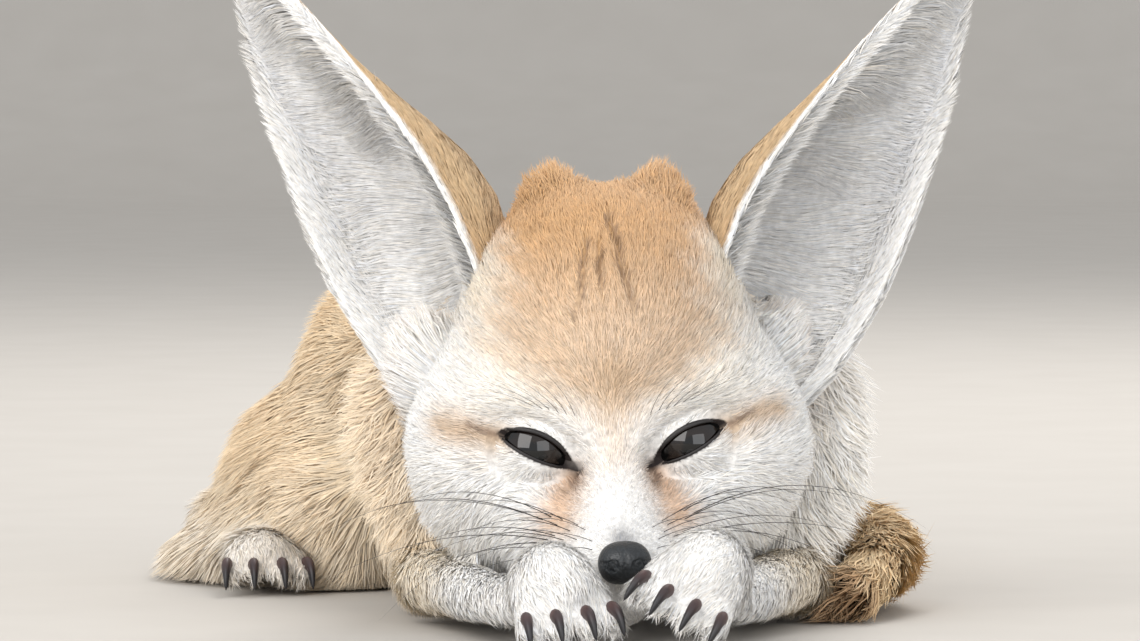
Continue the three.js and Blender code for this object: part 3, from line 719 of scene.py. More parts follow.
def fibre_group():
    """Tone that varies at random between hairs, and painted shade along each: darker at the root, lighter at the
    tip.
    """
    group = bpy.data.node_groups.new("hair_shade", "ShaderNodeTree")
    face_of = group.interface.new_socket
    for name, kind, value in (
        ("Colour", "NodeSocketColor", (1, 1, 1, 1)),
        ("Along", "NodeSocketFloat", 0.0),
        ("Painted Root Shade", "NodeSocketFloat", 0.6),
        ("Variation", "NodeSocketFloat", 0.1),
        ("Scale", "NodeSocketFloat", 700.0),
    ):
        face_of(name=name, in_out="INPUT", socket_type=kind).default_value = value
    face_of(name="Colour", in_out="OUTPUT", socket_type="NodeSocketColor")
    face_of(name="Roughness", in_out="OUTPUT", socket_type="NodeSocketFloat")
    face_of(name="Height", in_out="OUTPUT", socket_type="NodeSocketFloat")
    nodes, links = group.nodes, group.links
    given = nodes.new("NodeGroupInput")
    result = nodes.new("NodeGroupOutput")
    where = nodes.new("ShaderNodeTexCoord")
    noise = nodes.new("ShaderNodeTexNoise")
    noise.inputs["Detail"].default_value = 2
    links.new(where.outputs["Object"], noise.inputs["Vector"])
    links.new(given.outputs["Scale"], noise.inputs["Scale"])
    swing = nodes.new("ShaderNodeMapRange")
    swing.inputs["From Min"].default_value = 0.3
    swing.inputs["From Max"].default_value = 0.7
    swing.inputs["To Min"].default_value = -1
    links.new(noise.outputs["Fac"], swing.inputs["Value"])
    amount = nodes.new("ShaderNodeMath")
    amount.operation = "MULTIPLY_ADD"
    amount.inputs[2].default_value = 1.0
    links.new(swing.outputs[0], amount.inputs[0])
    links.new(given.outputs["Variation"], amount.inputs[1])
    # Painted shade: each hair darker towards its root, down to the painted root shade at the skin.
    root_shadow = nodes.new("ShaderNodeMapRange")
    root_shadow.inputs["From Max"].default_value = 0.7
    links.new(given.outputs["Along"], root_shadow.inputs["Value"])
    links.new(given.outputs["Painted Root Shade"], root_shadow.inputs["To Min"])
    both = nodes.new("ShaderNodeMath")
    both.operation = "MULTIPLY"
    links.new(amount.outputs[0], both.inputs[0])
    links.new(root_shadow.outputs[0], both.inputs[1])
    shaded = nodes.new("ShaderNodeVectorMath")
    shaded.operation = "SCALE"
    links.new(given.outputs["Colour"], shaded.inputs[0])
    links.new(both.outputs[0], shaded.inputs["Scale"])
    links.new(shaded.outputs[0], result.inputs["Colour"])
    gloss = nodes.new("ShaderNodeMapRange")
    gloss.inputs["To Min"].default_value = 0.62
    gloss.inputs["To Max"].default_value = 0.85
    links.new(noise.outputs["Fac"], gloss.inputs["Value"])
    links.new(gloss.outputs[0], result.inputs["Roughness"])
    links.new(noise.outputs["Fac"], result.inputs["Height"])
    return group


hair_shade = fibre_group()


def coat_material(name, painted_root_shade, variation, scale=700.0, relief=0.0):
    made = bpy.data.materials.new(name)
    made.use_nodes = True
    nodes, links = made.node_tree.nodes, made.node_tree.links
    surface = nodes["Principled BSDF"]
    colour = nodes.new("ShaderNodeAttribute")
    colour.attribute_name = "coat"
    shade = nodes.new("ShaderNodeGroup")
    shade.node_tree = hair_shade
    shade.inputs["Painted Root Shade"].default_value = painted_root_shade
    shade.inputs["Variation"].default_value = variation
    shade.inputs["Scale"].default_value = scale
    links.new(colour.outputs["Color"], shade.inputs["Colour"])
    links.new(colour.outputs["Alpha"], shade.inputs["Along"])
    links.new(shade.outputs["Colour"], surface.inputs["Base Color"])
    links.new(shade.outputs["Roughness"], surface.inputs["Roughness"])
    surface.inputs["Specular IOR Level"].default_value = 0.25
    if relief:
        ridges = nodes.new("ShaderNodeBump")
        ridges.inputs["Strength"].default_value = 0.5
        ridges.inputs["Distance"].default_value = relief
        links.new(shade.outputs["Height"], ridges.inputs["Height"])
        links.new(ridges.outputs["Normal"], surface.inputs["Normal"])
    return made


# The skin's colours all sit at a hair's root, so the whole skin takes the painted root shade: it is painted darker,
# as the shade under the coat.
skin_mesh.materials.append(coat_material("underfur_painted_shade", 0.72, 0.22, 900.0, 0.0006))
flesh = [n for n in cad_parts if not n.startswith(("eye", "claw", "nose"))]
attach(skin, "root")
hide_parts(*flesh)

# Coat
# The fox's fur, in tufts that follow the lie of the hair from the nose back over the crown, down
# the neck and flanks and out along the legs and brush. Each tuft is a few hairs that dried
# together: a thin flat blade, rooted in the skin, that bends over and ends in a point.

uv_layer = np.empty(len(skin_mesh.loops) * 2)
skin_mesh.uv_layers["OFBake"].data.foreach_get("uv", uv_layer)
skin_uv = uv_layer.reshape(-1, 3, 2)
normals = np.empty(len(skin_points) * 3)
skin_mesh.vertices.foreach_get("normal", normals)
normals = normals.reshape(-1, 3)
tri_points = skin_points[triangles]
crossed = np.cross(tri_points[:, 1] - tri_points[:, 0], tri_points[:, 2] - tri_points[:, 0])
areas = np.linalg.norm(crossed, axis=1) / 2
middles = tri_points.mean(axis=1)
tri_part = np.full(len(triangles), "ear", dtype="U16")
shares, part_names = part_shares(middles[~ear_triangle])
tri_part[~ear_triangle] = np.array([n.split("_")[0] for n in part_names])[shares.argmax(axis=1)]
in_eye = np.min([np.linalg.norm(middles - c, axis=1) for c in eye_places.values()], axis=0) < EYE_RADIUS + 0.3
in_eye |= tear_corner(head_local(middles)) > 0.45
in_eye |= (in_almond(head_local(middles), (EYE_HALF[0] + 0.6, EYE_HALF[1] + 0.5)) < 1) & (
    np.min([np.linalg.norm(middles - c, axis=1) for c in eye_places.values()], axis=0) < 12
)


def unit(v):
    return v / np.maximum(np.linalg.norm(v, axis=1, keepdims=True), 1e-9)


def wander(p, size, seed):
    """A gentle swing between -1 and 1 that changes over a size, in two independent strands."""
    rng = np.random.default_rng(seed)
    total = np.zeros((len(p), 2))
    for _ in range(5):
        way = rng.normal(size=(3, 2)) / size
        total += np.sin(p @ way + rng.uniform(0, 2 * math.pi, 2))
    return total / 5**0.5


def head_lie(p):
    q = head_local(p)
    way = unit(q - np.array([0, -34, -15]))
    side = np.sign(q[:, 0])
    x = np.abs(q[:, 0])
    way[:, 0] += side * 0.5 * smooth(5, 12, x) * smooth(18, 6, q[:, 2]) * smooth(-2, 6, q[:, 2])
    way[:, 2] -= 0.55 * smooth(2, -8, q[:, 2]) * smooth(8, 20, x)
    way[:, 1] += 0.4 * smooth(30, 50, q[:, 2])
    for low, high in PARTINGS:
        flat = np.stack([q[:, 0], q[:, 2]], axis=1)
        off = q[:, 0] - np.interp(q[:, 2], [low[1], high[1]], [low[0], high[0]])
        way[:, 0] += np.sign(off) * 0.32 * near_line(flat, low, high, 2.2)
    return way @ HEAD_TURN.T


def toward(a, b):
    return unit(np.array([b], float) - np.array([a], float))[0]


def fixed(way):
    return lambda p: np.tile(np.array(way, float), (len(p), 1))


def torso_lie(p):
    side = (p[:, 0] - np.interp(p[:, 1], [-60, 90], [20, -20])) / 40
    return np.stack([-0.25 + 0.25 * side, np.ones(len(p)), -0.45 * np.abs(side) ** 1.5], axis=1)


def neck_lie(p):
    side = (p[:, 0] - FACE[0]) / 36
    return np.stack([0.3 * side, np.ones(len(p)), -0.6 * np.abs(side)], axis=1)


tail_way = unit(np.gradient(tail_line, axis=0))


def tail_lie(p):
    t = tail_place(p)
    way = tail_way[np.round(t * (len(tail_line) - 1)).astype(int)]
    return way + smooth(0.9, 1.0, t)[:, None] * np.array([-0.5, 0, -0.5])


# For each part: the lie of its hair, the hair's length and width, and how far it stands up
LIES = {"head": head_lie, "torso": torso_lie, "neck": neck_lie, "tail": tail_lie}
for word, side in SIDES.items():
    LIES["ruff_" + word] = fixed([side * 0.3, 0.75, -0.6])
    LIES["shoulder_" + word] = fixed([side * 0.1, 0.45, -0.9])
    LIES["forearm_" + word] = fixed(toward(at_side(ELBOW, side), at_side(WRIST, side)) + np.array([side * 0.2, 0, -0.55]))
    LIES["paw_" + word] = fixed(PAWS[word][1] @ np.array([0, -0.7, -0.6]))
    LIES["haunch_" + word] = fixed(HIP_TURN @ np.array([side * 0.2, 0.65, -0.75]))
    LIES["shank_" + word] = fixed(HIP_TURN @ np.array([side * 0.4, 0.6, -0.6]))
    LIES["foot_" + word] = fixed(feet[word][1] @ np.array([0, -0.7, -0.6]))
LENGTHS = {
    "torso": 12.0, "neck": 13.0, "tail": 18.0, "ruff": 12.0, "shoulder": 11.0, "forearm": 5.0,
    "paw": 4.4, "haunch": 14.0, "shank": 8.0, "foot": 4.0,
}
WIDTHS = {
    "torso": 0.55, "neck": 0.5, "tail": 0.7, "ruff": 0.5, "shoulder": 0.5, "forearm": 0.4,
    "paw": 0.32, "haunch": 0.55, "shank": 0.5, "foot": 0.38,
}
LIFTS = {
    "torso": 18.0, "neck": 18.0, "tail": 11.0, "ruff": 14.0, "shoulder": 16.0, "forearm": 9.0,
    "paw": 8.0, "haunch": 18.0, "shank": 12.0, "foot": 8.0,
}


def head_hair(q):
    """Length, width and lift of the hair on each part of the head."""
    both = np.abs(q) * [1, 0, 0] + q * [0, 1, 1]
    y, z = q[:, 1], q[:, 2]
    length = 1.6 + 2.6 * smooth(-16, 0, y) + 3.0 * smooth(8, 30, y)
    length += 5.0 * bump(both, (28, 14, -14), (14, 18, 14))
    length += 2.4 * bump(both, (11, 27, 52), (12, 12, 9))
    length += 3.5 * bump(both, (33, 26, 10), (8, 14, 14)) + 2.5 * bump(both, (22, 6, -20), (12, 12, 6))
    length -= 1.3 * bump(both, (EYE_SIDE, 0, 0), (11, 8, 7))
    width = 0.23 + 0.016 * length
    lift = 15 + 6 * smooth(0, 25, y) + 10 * bump(both, (11, 28, 52), (12, 14, 9))
    lift -= 6 * bump(both, (EYE_SIDE, 0, 0), (12, 9, 8))
    return np.maximum(length, 1.2), width, lift


def hair_at(p):
    shares, names = part_shares(p)
    way = np.zeros((len(p), 3))
    length, width, lift = np.zeros(len(p)), np.zeros(len(p)), np.zeros(len(p))
    for i, name in enumerate(names):
        mine = shares[:, i] > 0.01
        if not mine.any():
            continue
        share = shares[mine, i]
        kind = name.split("_")[0]
        if kind == "head":
            size = head_hair(head_local(p[mine]))
        else:
            size = LENGTHS[kind], WIDTHS[kind], LIFTS[kind]
        way[mine] += share[:, None] * unit(LIES[name](p[mine]))
        length[mine] += share * size[0]
        width[mine] += share * size[1]
        lift[mine] += share * size[2]
    return way, length, width, lift


def scattered(weight, count, seed):
    """Places on the skin: the triangle that each is in, and its three shares in it."""
    rng = np.random.default_rng(seed)
    ladder = np.cumsum(weight)
    pick = np.searchsorted(ladder, (np.arange(count) + rng.uniform(size=count)) / count * ladder[-1])
    pick = np.minimum(pick, len(weight) - 1)
    a, b = rng.uniform(size=(2, count))
    a, b = np.where(a + b > 1, 1 - a, a), np.where(a + b > 1, 1 - b, b)
    return pick, np.stack([1 - a - b, a, b], axis=1)


def blades(name, path, across, facing, width, roots, tips, uv, material):
    """One mesh of flat tapered tufts. path holds each tuft's middle line, from root to tip."""
    count, levels = path.shape[:2]
    taper = {3: [0.85, 0.62, 0], 4: [0.75, 0.85, 0.5, 0]}[levels]
    rows = []
    colours = []
    patch = []
    rng = np.random.default_rng(count)
    turn = rng.uniform(0, 2 * math.pi, count)
    ahead = np.stack([np.cos(turn), np.sin(turn)], axis=1)
    beside = np.stack([-ahead[:, 1], ahead[:, 0]], axis=1)
    for i in range(levels):
        t = i / (levels - 1)
        half = (across * (width * taper[i] / 2)[:, None]) if taper[i] else None
        shade = np.c_[mix(roots, tips, np.full(count, t)), np.full(count, t)]
        for sign in (-1, 1) if taper[i] else (0,):
            rows.append(path[:, i] + (sign * half if sign else 0))
            colours.append(shade)
            patch.append(uv + 0.0015 * (ahead * (2 * t - 1) + beside * sign * 0.5))
    points = np.stack(rows, axis=1)
    points[:, :, 2] = np.maximum(points[:, :, 2], 0.15)
    each = points.shape[1]
    faces = []
    for i in range(levels - 2):
        faces += [[2 * i, 2 * i + 3, 2 * i + 1], [2 * i, 2 * i + 2, 2 * i + 3]]
    faces.append([each - 3, each - 1, each - 2])
    index = (np.array(faces)[None] + np.arange(count)[:, None, None] * each).reshape(-1)
    mesh = bpy.data.meshes.new(name)
    mesh.vertices.add(count * each)
    mesh.vertices.foreach_set("co", (points * MM).astype(np.float32).ravel())
    mesh.loops.add(len(index))
    mesh.loops.foreach_set("vertex_index", index.astype(np.int32))
    mesh.polygons.add(len(index) // 3)
    mesh.polygons.foreach_set("loop_start", np.arange(0, len(index), 3, dtype=np.int32))
    mesh.polygons.foreach_set("use_smooth", np.ones(len(index) // 3, bool))
    mesh.update()
    mesh.normals_split_custom_set_from_vertices(np.repeat(facing, each, axis=0).tolist())
    add_colour(mesh, np.stack(colours, axis=1).reshape(-1, 4))
    places = np.stack(patch, axis=1).reshape(-1, 2)
    mesh.uv_layers.new(name="OFBake").data.foreach_set("uv", places[index].astype(np.float32).ravel())
    mesh.materials.append(material)
    piece = new_object(name, mesh)
    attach(piece, "root")
    print("COAT", name, len(mesh.polygons))
    return piece


def clumped(path, spacing, pull, seed):
    """Draws neighbouring tufts together towards their tips, as hair gathers into locks."""
    rng = np.random.default_rng(seed)
    roots = path[:, 0]
    spread = roots[rng.permutation(len(roots))]
    cells = np.floor(spread / spacing).astype(int)
    _, first = np.unique(cells, axis=0, return_index=True)
    leaders = spread[first]
    order = {tuple(r): i for i, r in enumerate(roots)}
    leader_index = np.array([order[tuple(r)] for r in leaders])
    tree = KDTree(len(leaders))
    for i, place in enumerate(leaders):
        tree.insert(place, i)
    tree.balance()
    mine = leader_index[np.array([tree.find(r)[1] for r in roots])]
    offset = roots - roots[mine]
    for i in range(1, path.shape[1]):
        t = i / (path.shape[1] - 1)
        goal = path[mine, i] + offset * (1 - 0.75 * t)
        path[:, i] += (goal - path[:, i]) * pull * t
    return path


def rooted(pick, share):
    p = (tri_points[pick] * share[:, :, None]).sum(axis=1)
    n = unit((normals[triangles[pick]] * share[:, :, None]).sum(axis=1))
    uv = (skin_uv[pick] * share[:, :, None]).sum(axis=1)
    return p, n, uv


def shaded(colour, rng, spread=0.1):
    """A tuft's own root and tip colours, a little off its neighbours', with the root painted darker as shade and the
    tip a little lighter.
    """
    light = 1 + 0.75 * spread * rng.normal(size=(len(colour), 1))
    warm = 1 + 0.03 * rng.normal(size=(len(colour), 1)) * np.array([[0.6, 0, -1.0]])
    tip = colour * light * warm
    # Painted shade: the root 7% darker than the tip, which is lifted slightly towards white.
    return tip * 0.93, tip + (1 - tip) * 0.05


def over_eye(p):
    """Whether each place is in front of an eye's opening."""
    q = head_local(p)
    return (in_almond(q, (EYE_HALF[0] + 0.2, EYE_HALF[1] + 0.2)) < 1) & (q[:, 1] < 6)


def in_cup(p):
    """Whether each place is within either ear's cup or its wall."""
    within = np.zeros(len(p), bool)
    for word in SIDES:
        u, h, out = ear_coords(word, p)
        within |= (np.abs(u) < 1.05) & (h > -0.02) & (h < 1) & (out < 0.6)
    return within


def body_coat(name, kinds, density, levels, spacing, pull, seed, where=None, material=None, spread=0.09):
    """A piece of coat over the parts named, with so many tufts to the square millimetre."""
    chosen = np.isin(tri_part, kinds) & ~in_eye
    if where is not None:
        chosen &= where(middles)
    weight = np.where(chosen, areas * (density(middles) if callable(density) else density), 0)
    count = int(weight.sum())
    pick, share = scattered(weight, count, seed)
    p, n, uv = rooted(pick, share)
    rng = np.random.default_rng(seed + 1)
    way, length, width, lift = hair_at(p)
    way = unit(way - (way * n).sum(axis=1, keepdims=True) * n)
    beside = np.cross(n, way)
    swing = 0.16 * wander(p, 9.0, seed)[:, 0] + 0.12 * wander(p, 3.0, seed + 1)[:, 0]
    swing += rng.normal(0, 0.1, count)
    way = unit(way + beside * swing[:, None])
    beside = np.cross(n, way)
    length = length * rng.uniform(0.75, 1.2, count) * (1 + 0.1 * wander(p, 5.0, seed)[:, 1])
    rise = np.radians(lift * rng.uniform(0.7, 1.3, count))
    path = []
    for i in range(levels):
        t = i / (levels - 1)
        along = (t * np.cos(rise))[:, None] * way
        up = (np.sin(rise) * (1.25 * t - 0.5 * t * t))[:, None] * n
        sway = (0.12 * t * t * rng.normal(size=count))[:, None] * beside
        path.append(p - 0.25 * n + length[:, None] * (along + up + sway))
    path = clumped(np.stack(path, axis=1), spacing, pull, seed)
    astray = over_eye if "head" in kinds else in_cup
    kept = ~np.any([astray(path[:, i]) for i in range(levels)], axis=0)
    path, p, n, uv, way, beside = path[kept], p[kept], n[kept], uv[kept], way[kept], beside[kept]
    width, count = width[kept], kept.sum()
    roll = rng.normal(0, 0.4, count)[:, None]
    across = unit(beside * np.cos(roll) + n * np.sin(roll))
    root, tip = shaded(coat_colour(p), rng, spread)
    facing = unit(n + 0.25 * way + 0.16 * rng.normal(size=(count, 3)))
    return blades(name, path, across, facing, width * rng.uniform(0.8, 1.2, count), root, tip, uv, material)


# Painted shade: each tuft darker towards its root, to 0.78 of its colour at the skin.
fur = coat_material("fur", 0.78, 0.1)


def face_density(p):
    q = head_local(p)
    return 8.5 - 3.0 * smooth(0, 16, q[:, 1]) + 2.5 * smooth(-8, -18, q[:, 1])


def in_front(p):
    return head_local(p)[:, 1] < 20


for word, side in SIDES.items():
    body_coat(
        "coat_face_" + word, ["head"], face_density, 3, 2.2, 0.3, 11 + side,
        lambda p, side=side: in_front(p) & (head_local(p)[:, 0] * side > 0), fur, 0.12,
    )
body_coat("coat_crown", ["head"], 4.8, 3, 2.6, 0.45, 19, lambda p: ~in_front(p), fur, 0.14)
body_coat("coat_neck", ["neck"], 3.4, 3, 4.0, 0.35, 13, None, fur)
body_coat("coat_ruff", ["ruff"], 5.0, 4, 4.0, 0.4, 24, None, fur)
body_coat("coat_torso", ["torso"], 2.3, 3, 4.0, 0.35, 14, None, fur)
body_coat("coat_haunches", ["haunch"], 3.0, 3, 4.0, 0.35, 15, None, fur)
body_coat("coat_hind_feet", ["shank", "foot"], 3.5, 3, 2.5, 0.35, 20, None, fur)
body_coat("coat_forelegs", ["forearm", "paw"], 5.5, 3, 2.0, 0.3, 16, None, fur)
body_coat("coat_shoulders", ["shoulder"], 3.4, 3, 4.0, 0.35, 17, None, fur)
body_coat("coat_tail", ["tail"], 3.3, 4, 5.0, 0.4, 18, None, fur)


def ear_coat(name, density, levels, style, seed, inside, fold=None):
    """A piece of coat on both ears. style gives each tuft's length, direction and rise."""
    chosen = np.zeros(len(triangles))
    for word in SIDES:
        mine = ear_triangle & (ear_of(middles) == word)
        u, h, out = ear_coords(word, middles[mine])
        inner = out < -1.3
        chosen[mine] = (inner == inside) & (h > 0.0)
        chosen[mine] *= density(u, h, -SIDES[word])
    weight = areas * chosen
    count = int(weight.sum())
    pick, share = scattered(weight, count, seed)
    p, _, uv = rooted(pick, share)
    rng = np.random.default_rng(seed + 1)
    path = np.zeros((count, levels, 3))
    across = np.zeros((count, 3))
    facing = np.zeros((count, 3))
    colour = np.zeros((count, 3))
    width = np.zeros(count)
    for word, side in SIDES.items():
        mine = ear_of(p) == word
        u, h, out = ear_coords(word, p[mine])
        k = mine.sum()
        medial = -side
        length, turn, bend, rise, wide = style(u, h, medial, rng)
        curl, radius = ear_profile(h)
        tall = np.linalg.norm(EAR_STANCE[word][1] - EAR_STANCE[word][0])
        turn = turn + 0.22 * wander(p[mine], 6.0, seed)[:, 0] + rng.normal(0, 0.1, k)
        width[mine] = wide * rng.uniform(0.8, 1.2, k)
        uu, hh = u.copy(), h.copy()
        step = length / (levels - 1)
        way_out = -1 if inside else 1
        for i in range(levels):
            t = i / (levels - 1)
            path[mine, i] = ear_point(word, uu, hh, out + way_out * (rise * (1.6 * t - 0.8 * t * t) - 0.15))
            heading = turn + bend * (t + 0.5 / (levels - 1))
            uu = uu + medial * np.cos(heading) * step / (radius * curl)
            hh = hh + np.sin(heading) * step / tall
        if fold is not None:
            axes = ear_axes(word) * [-medial, -1, 1]
            way = unit(np.array(fold) @ axes.T + 0.2 * rng.normal(size=(k, 3)))
            t = np.linspace(0, 1, levels)[None, :, None]
            droop = axes[:, 1] * -0.25
            path[mine] = p[mine][:, None] + (way[:, None] * t + droop * t * t) * length[:, None, None]
        radial = way_out * (ear_point(word, u, h, out + 1) - ear_point(word, u, h, out))
        rimward = ear_point(word, u + 0.02 * np.sign(u), h, out) - ear_point(word, u, h, out)
        radial = unit(radial + (1.8 * smooth(0.7, 1.0, np.abs(u)))[:, None] * unit(rimward))
        first = unit(path[mine, 1] - path[mine, 0])
        beside = unit(np.cross(radial, first))
        roll = rng.normal(0, 0.4, k)[:, None]
        across[mine] = unit(beside * np.cos(roll) + radial * np.sin(roll))
        facing[mine] = unit(radial + 0.25 * first + 0.16 * rng.normal(size=(k, 3)))
        colour[mine] = ear_colour(u, h, np.full(k, inside), medial)
    path = clumped(path, 2.5, 0.3, seed)
    root, tip = shaded(colour, rng, 0.08)
    return blades(name, path, across, facing, width, root, tip, uv, fur)


# An angle of 0 heads for the ear's inner edge, 90 degrees for its tip and 180 for its outer edge
def ear_long(u, h, medial, rng):
    m = u * medial
    length = np.interp(h, [0, 0.25, 0.6, 1], [13, 18, 16, 6]) * smooth(-1.2, 0.5, m) + 2.0
    turn = np.radians(np.interp(h, [0, 0.3, 1], [165, 138, 128]))
    return length, turn, np.radians(np.interp(h, [0, 1], [15, 60])), 1.0 + 2.2 * smooth(-0.6, 0.8, m), 0.4


def ear_short(u, h, medial, rng):
    m = u * medial
    turn = np.radians(100 - 10 * smooth(0.8, 0.97, m) + 28 * smooth(-0.7, -0.95, m))
    return 3.0 + 1.6 * smooth(-0.7, -0.95, m), turn, np.radians(10), np.full(len(u), 0.9), 0.3


def ear_behind(u, h, medial, rng):
    m = u * medial
    turn = np.radians(90 - 15 * smooth(0.7, 0.98, m) + 30 * smooth(-0.7, -0.98, m))
    return np.full(len(u), 3.6), turn, 0.0, np.full(len(u), 0.9), 0.34


def ear_folded(u, h, medial, rng):
    return np.interp(h, [0, 0.5, 1], [7.5, 6.5, 3.5]), np.zeros(len(u)), 0.0, 0.0, 0.34


ear_coat("coat_ear_rims", lambda u, h, m: 16 * smooth(0.84, 0.92, u * m), 3, ear_folded, 25, True, (0.62, 0.3, 0.75))
ear_coat("coat_ear_hair", lambda u, h, m: 3.4 * smooth(-0.85, -0.2, u * m) * smooth(0.8, 0.66, u * m), 4, ear_long, 21, True)
ear_coat("coat_ear_down", lambda u, h, m: 3.2 + 3.6 * smooth(0.6, 0.8, np.abs(u)), 3, ear_short, 22, True)
ear_coat("coat_ear_backs", lambda u, h, m: 4.0 + 3.0 * smooth(0.85, 0.97, np.abs(u)), 3, ear_behind, 23, False)

# Eyes
# Blown glass eyes as a taxidermist sets them: a dark brown iris painted behind a clear domed
# front, set deep in the socket and held by the lids, which are modelled skin with a dark rim.

for word, side in SIDES.items():
    centre = Vector((FACE + HEAD_TURN @ np.array([side * EYE_SIDE, EYE_BACK, 0])) * MM)
    gaze = Vector(HEAD_TURN @ np.array([side * 0.1, -1.0, -0.12])).normalized()
    ball = bmesh.new()
    bmesh.ops.create_uvsphere(ball, u_segments=64, v_segments=48, radius=EYE_RADIUS * MM)
    stand = Vector((0, 0, 1)).rotation_difference(gaze).to_matrix().to_4x4()
    angles = []
    for v in ball.verts:
        angle = v.co.angle(Vector((0, 0, 1)), 0.0)
        angles.append(angle)
        v.co *= 1 + 0.05 * max(0.0, 1 - (angle / 0.75) ** 2) ** 1.5
    bmesh.ops.transform(ball, matrix=Matrix.Translation(centre) @ stand, verts=ball.verts)
    mesh = bpy.data.meshes.new("eye")
    ball.to_mesh(mesh)
    ball.free()
    mesh.attributes.new("from_pupil", "FLOAT", "POINT").data.foreach_set("value", angles)
    mesh.polygons.foreach_set("use_smooth", [True] * len(mesh.polygons))
    piece = new_object("glass_eye_" + word, mesh)
    if word == "right":
        glass = bpy.data.materials.new("eye_glass")
        glass.use_nodes = True
        nodes, links = glass.node_tree.nodes, glass.node_tree.links
        surface = nodes["Principled BSDF"]
        ring = nodes.new("ShaderNodeAttribute")
        ring.attribute_name = "from_pupil"
        where = nodes.new("ShaderNodeTexCoord")
        rays = nodes.new("ShaderNodeTexNoise")
        rays.inputs["Scale"].default_value = 1400
        links.new(where.outputs["Object"], rays.inputs["Vector"])
        jitter = nodes.new("ShaderNodeMath")
        jitter.operation = "MULTIPLY_ADD"
        jitter.inputs[1].default_value = 0.12
        links.new(rays.outputs["Fac"], jitter.inputs[0])
        links.new(ring.outputs["Fac"], jitter.inputs[2])
        iris = nodes.new("ShaderNodeValToRGB")
        iris.color_ramp.elements[0].position = 0.33
        iris.color_ramp.elements[0].color = (0.002, 0.002, 0.002, 1)
        iris.color_ramp.elements[1].position = 0.42
        iris.color_ramp.elements[1].color = (0.012, 0.008, 0.006, 1)
        for place, shade in ((0.66, (0.009, 0.006, 0.005, 1)), (0.8, (0.002, 0.002, 0.002, 1))):
            iris.color_ramp.elements.new(place).color = shade
        links.new(jitter.outputs[0], iris.inputs["Fac"])
        links.new(iris.outputs["Color"], surface.inputs["Base Color"])
        surface.inputs["Roughness"].default_value = 0.4
        surface.inputs["Specular IOR Level"].default_value = 0.0
        surface.inputs["Coat Weight"].default_value = 1.0
        surface.inputs["Coat Roughness"].default_value = 0.03
    mesh.materials.append(glass)
    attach(piece, "root")
    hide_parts("eye_" + word)

# Lids
# The dark bare rims of the lids, modelled in fine clay over the glass and painted. Each runs
# round the eye's almond and on into the tear corner, where it narrows to a point.


def almond_point(side, half, angle):
    slant = math.radians(EYE_SLANT)
    along = math.cos(angle) * half[0]
    lift = math.sin(angle) * half[1] * (1 - 0.25 * math.cos(angle) ** 2) + EYE_ARCH * math.sin(angle) ** 2
    x = EYE_SIDE + along * math.cos(slant) - lift * math.sin(slant)
    return np.array([side * x, 0.0, along * math.sin(slant) + lift * math.cos(slant)])


def onto_eye(q, side, gap):
    """The place in front of an eye's glass that lies behind a point of the face, from in front."""
    flat = (q[0] - side * EYE_SIDE) ** 2 + q[2] ** 2
    reach = EYE_RADIUS + gap
    return np.array([q[0], EYE_BACK - math.sqrt(max(reach * reach - flat, 1.0)), q[2]])


rims = bmesh.new()
for word, side in SIDES.items():
    STEPS = 96
    AROUND = 10
    rows = []
    for i in range(STEPS):
        angle = 2 * math.pi * i / STEPS
        upper = max(0.0, math.sin(angle))
        inner = max(0.0, -math.cos(angle)) ** 6
        thick = 0.26 + 0.16 * upper + 0.08 * inner
        q = onto_eye(almond_point(side, (EYE_HALF[0] + 0.2 + 1.6 * inner, EYE_HALF[1] + 0.1), angle), side, 0.6)
        ahead = onto_eye(almond_point(side, EYE_HALF, angle + 0.05), side, 0.6) - onto_eye(
            almond_point(side, EYE_HALF, angle - 0.05), side, 0.6
        )
        out = q - np.array([side * EYE_SIDE, EYE_BACK, 0])
        out = out / np.linalg.norm(out)
        across = np.cross(ahead, out)
        across /= np.linalg.norm(across)
        ring = []
        for j in range(AROUND):
            a = 2 * math.pi * j / AROUND
            place = q + thick * (1.25 * math.cos(a) * across + 0.85 * math.sin(a) * out)
            ring.append(rims.verts.new((FACE + HEAD_TURN @ place) * MM))
        rows.append(ring)
    for i in range(STEPS):
        here, there = rows[i], rows[(i + 1) % STEPS]
        for j in range(AROUND):
            rims.faces.new((here[j], here[(j + 1) % AROUND], there[(j + 1) % AROUND], there[j]))
bmesh.ops.recalc_face_normals(rims, faces=rims.faces)
mesh = bpy.data.meshes.new("lid_rims")
rims.to_mesh(mesh)
rims.free()
mesh.polygons.foreach_set("use_smooth", [True] * len(mesh.polygons))
lid_rims = new_object("lid_rims", mesh)


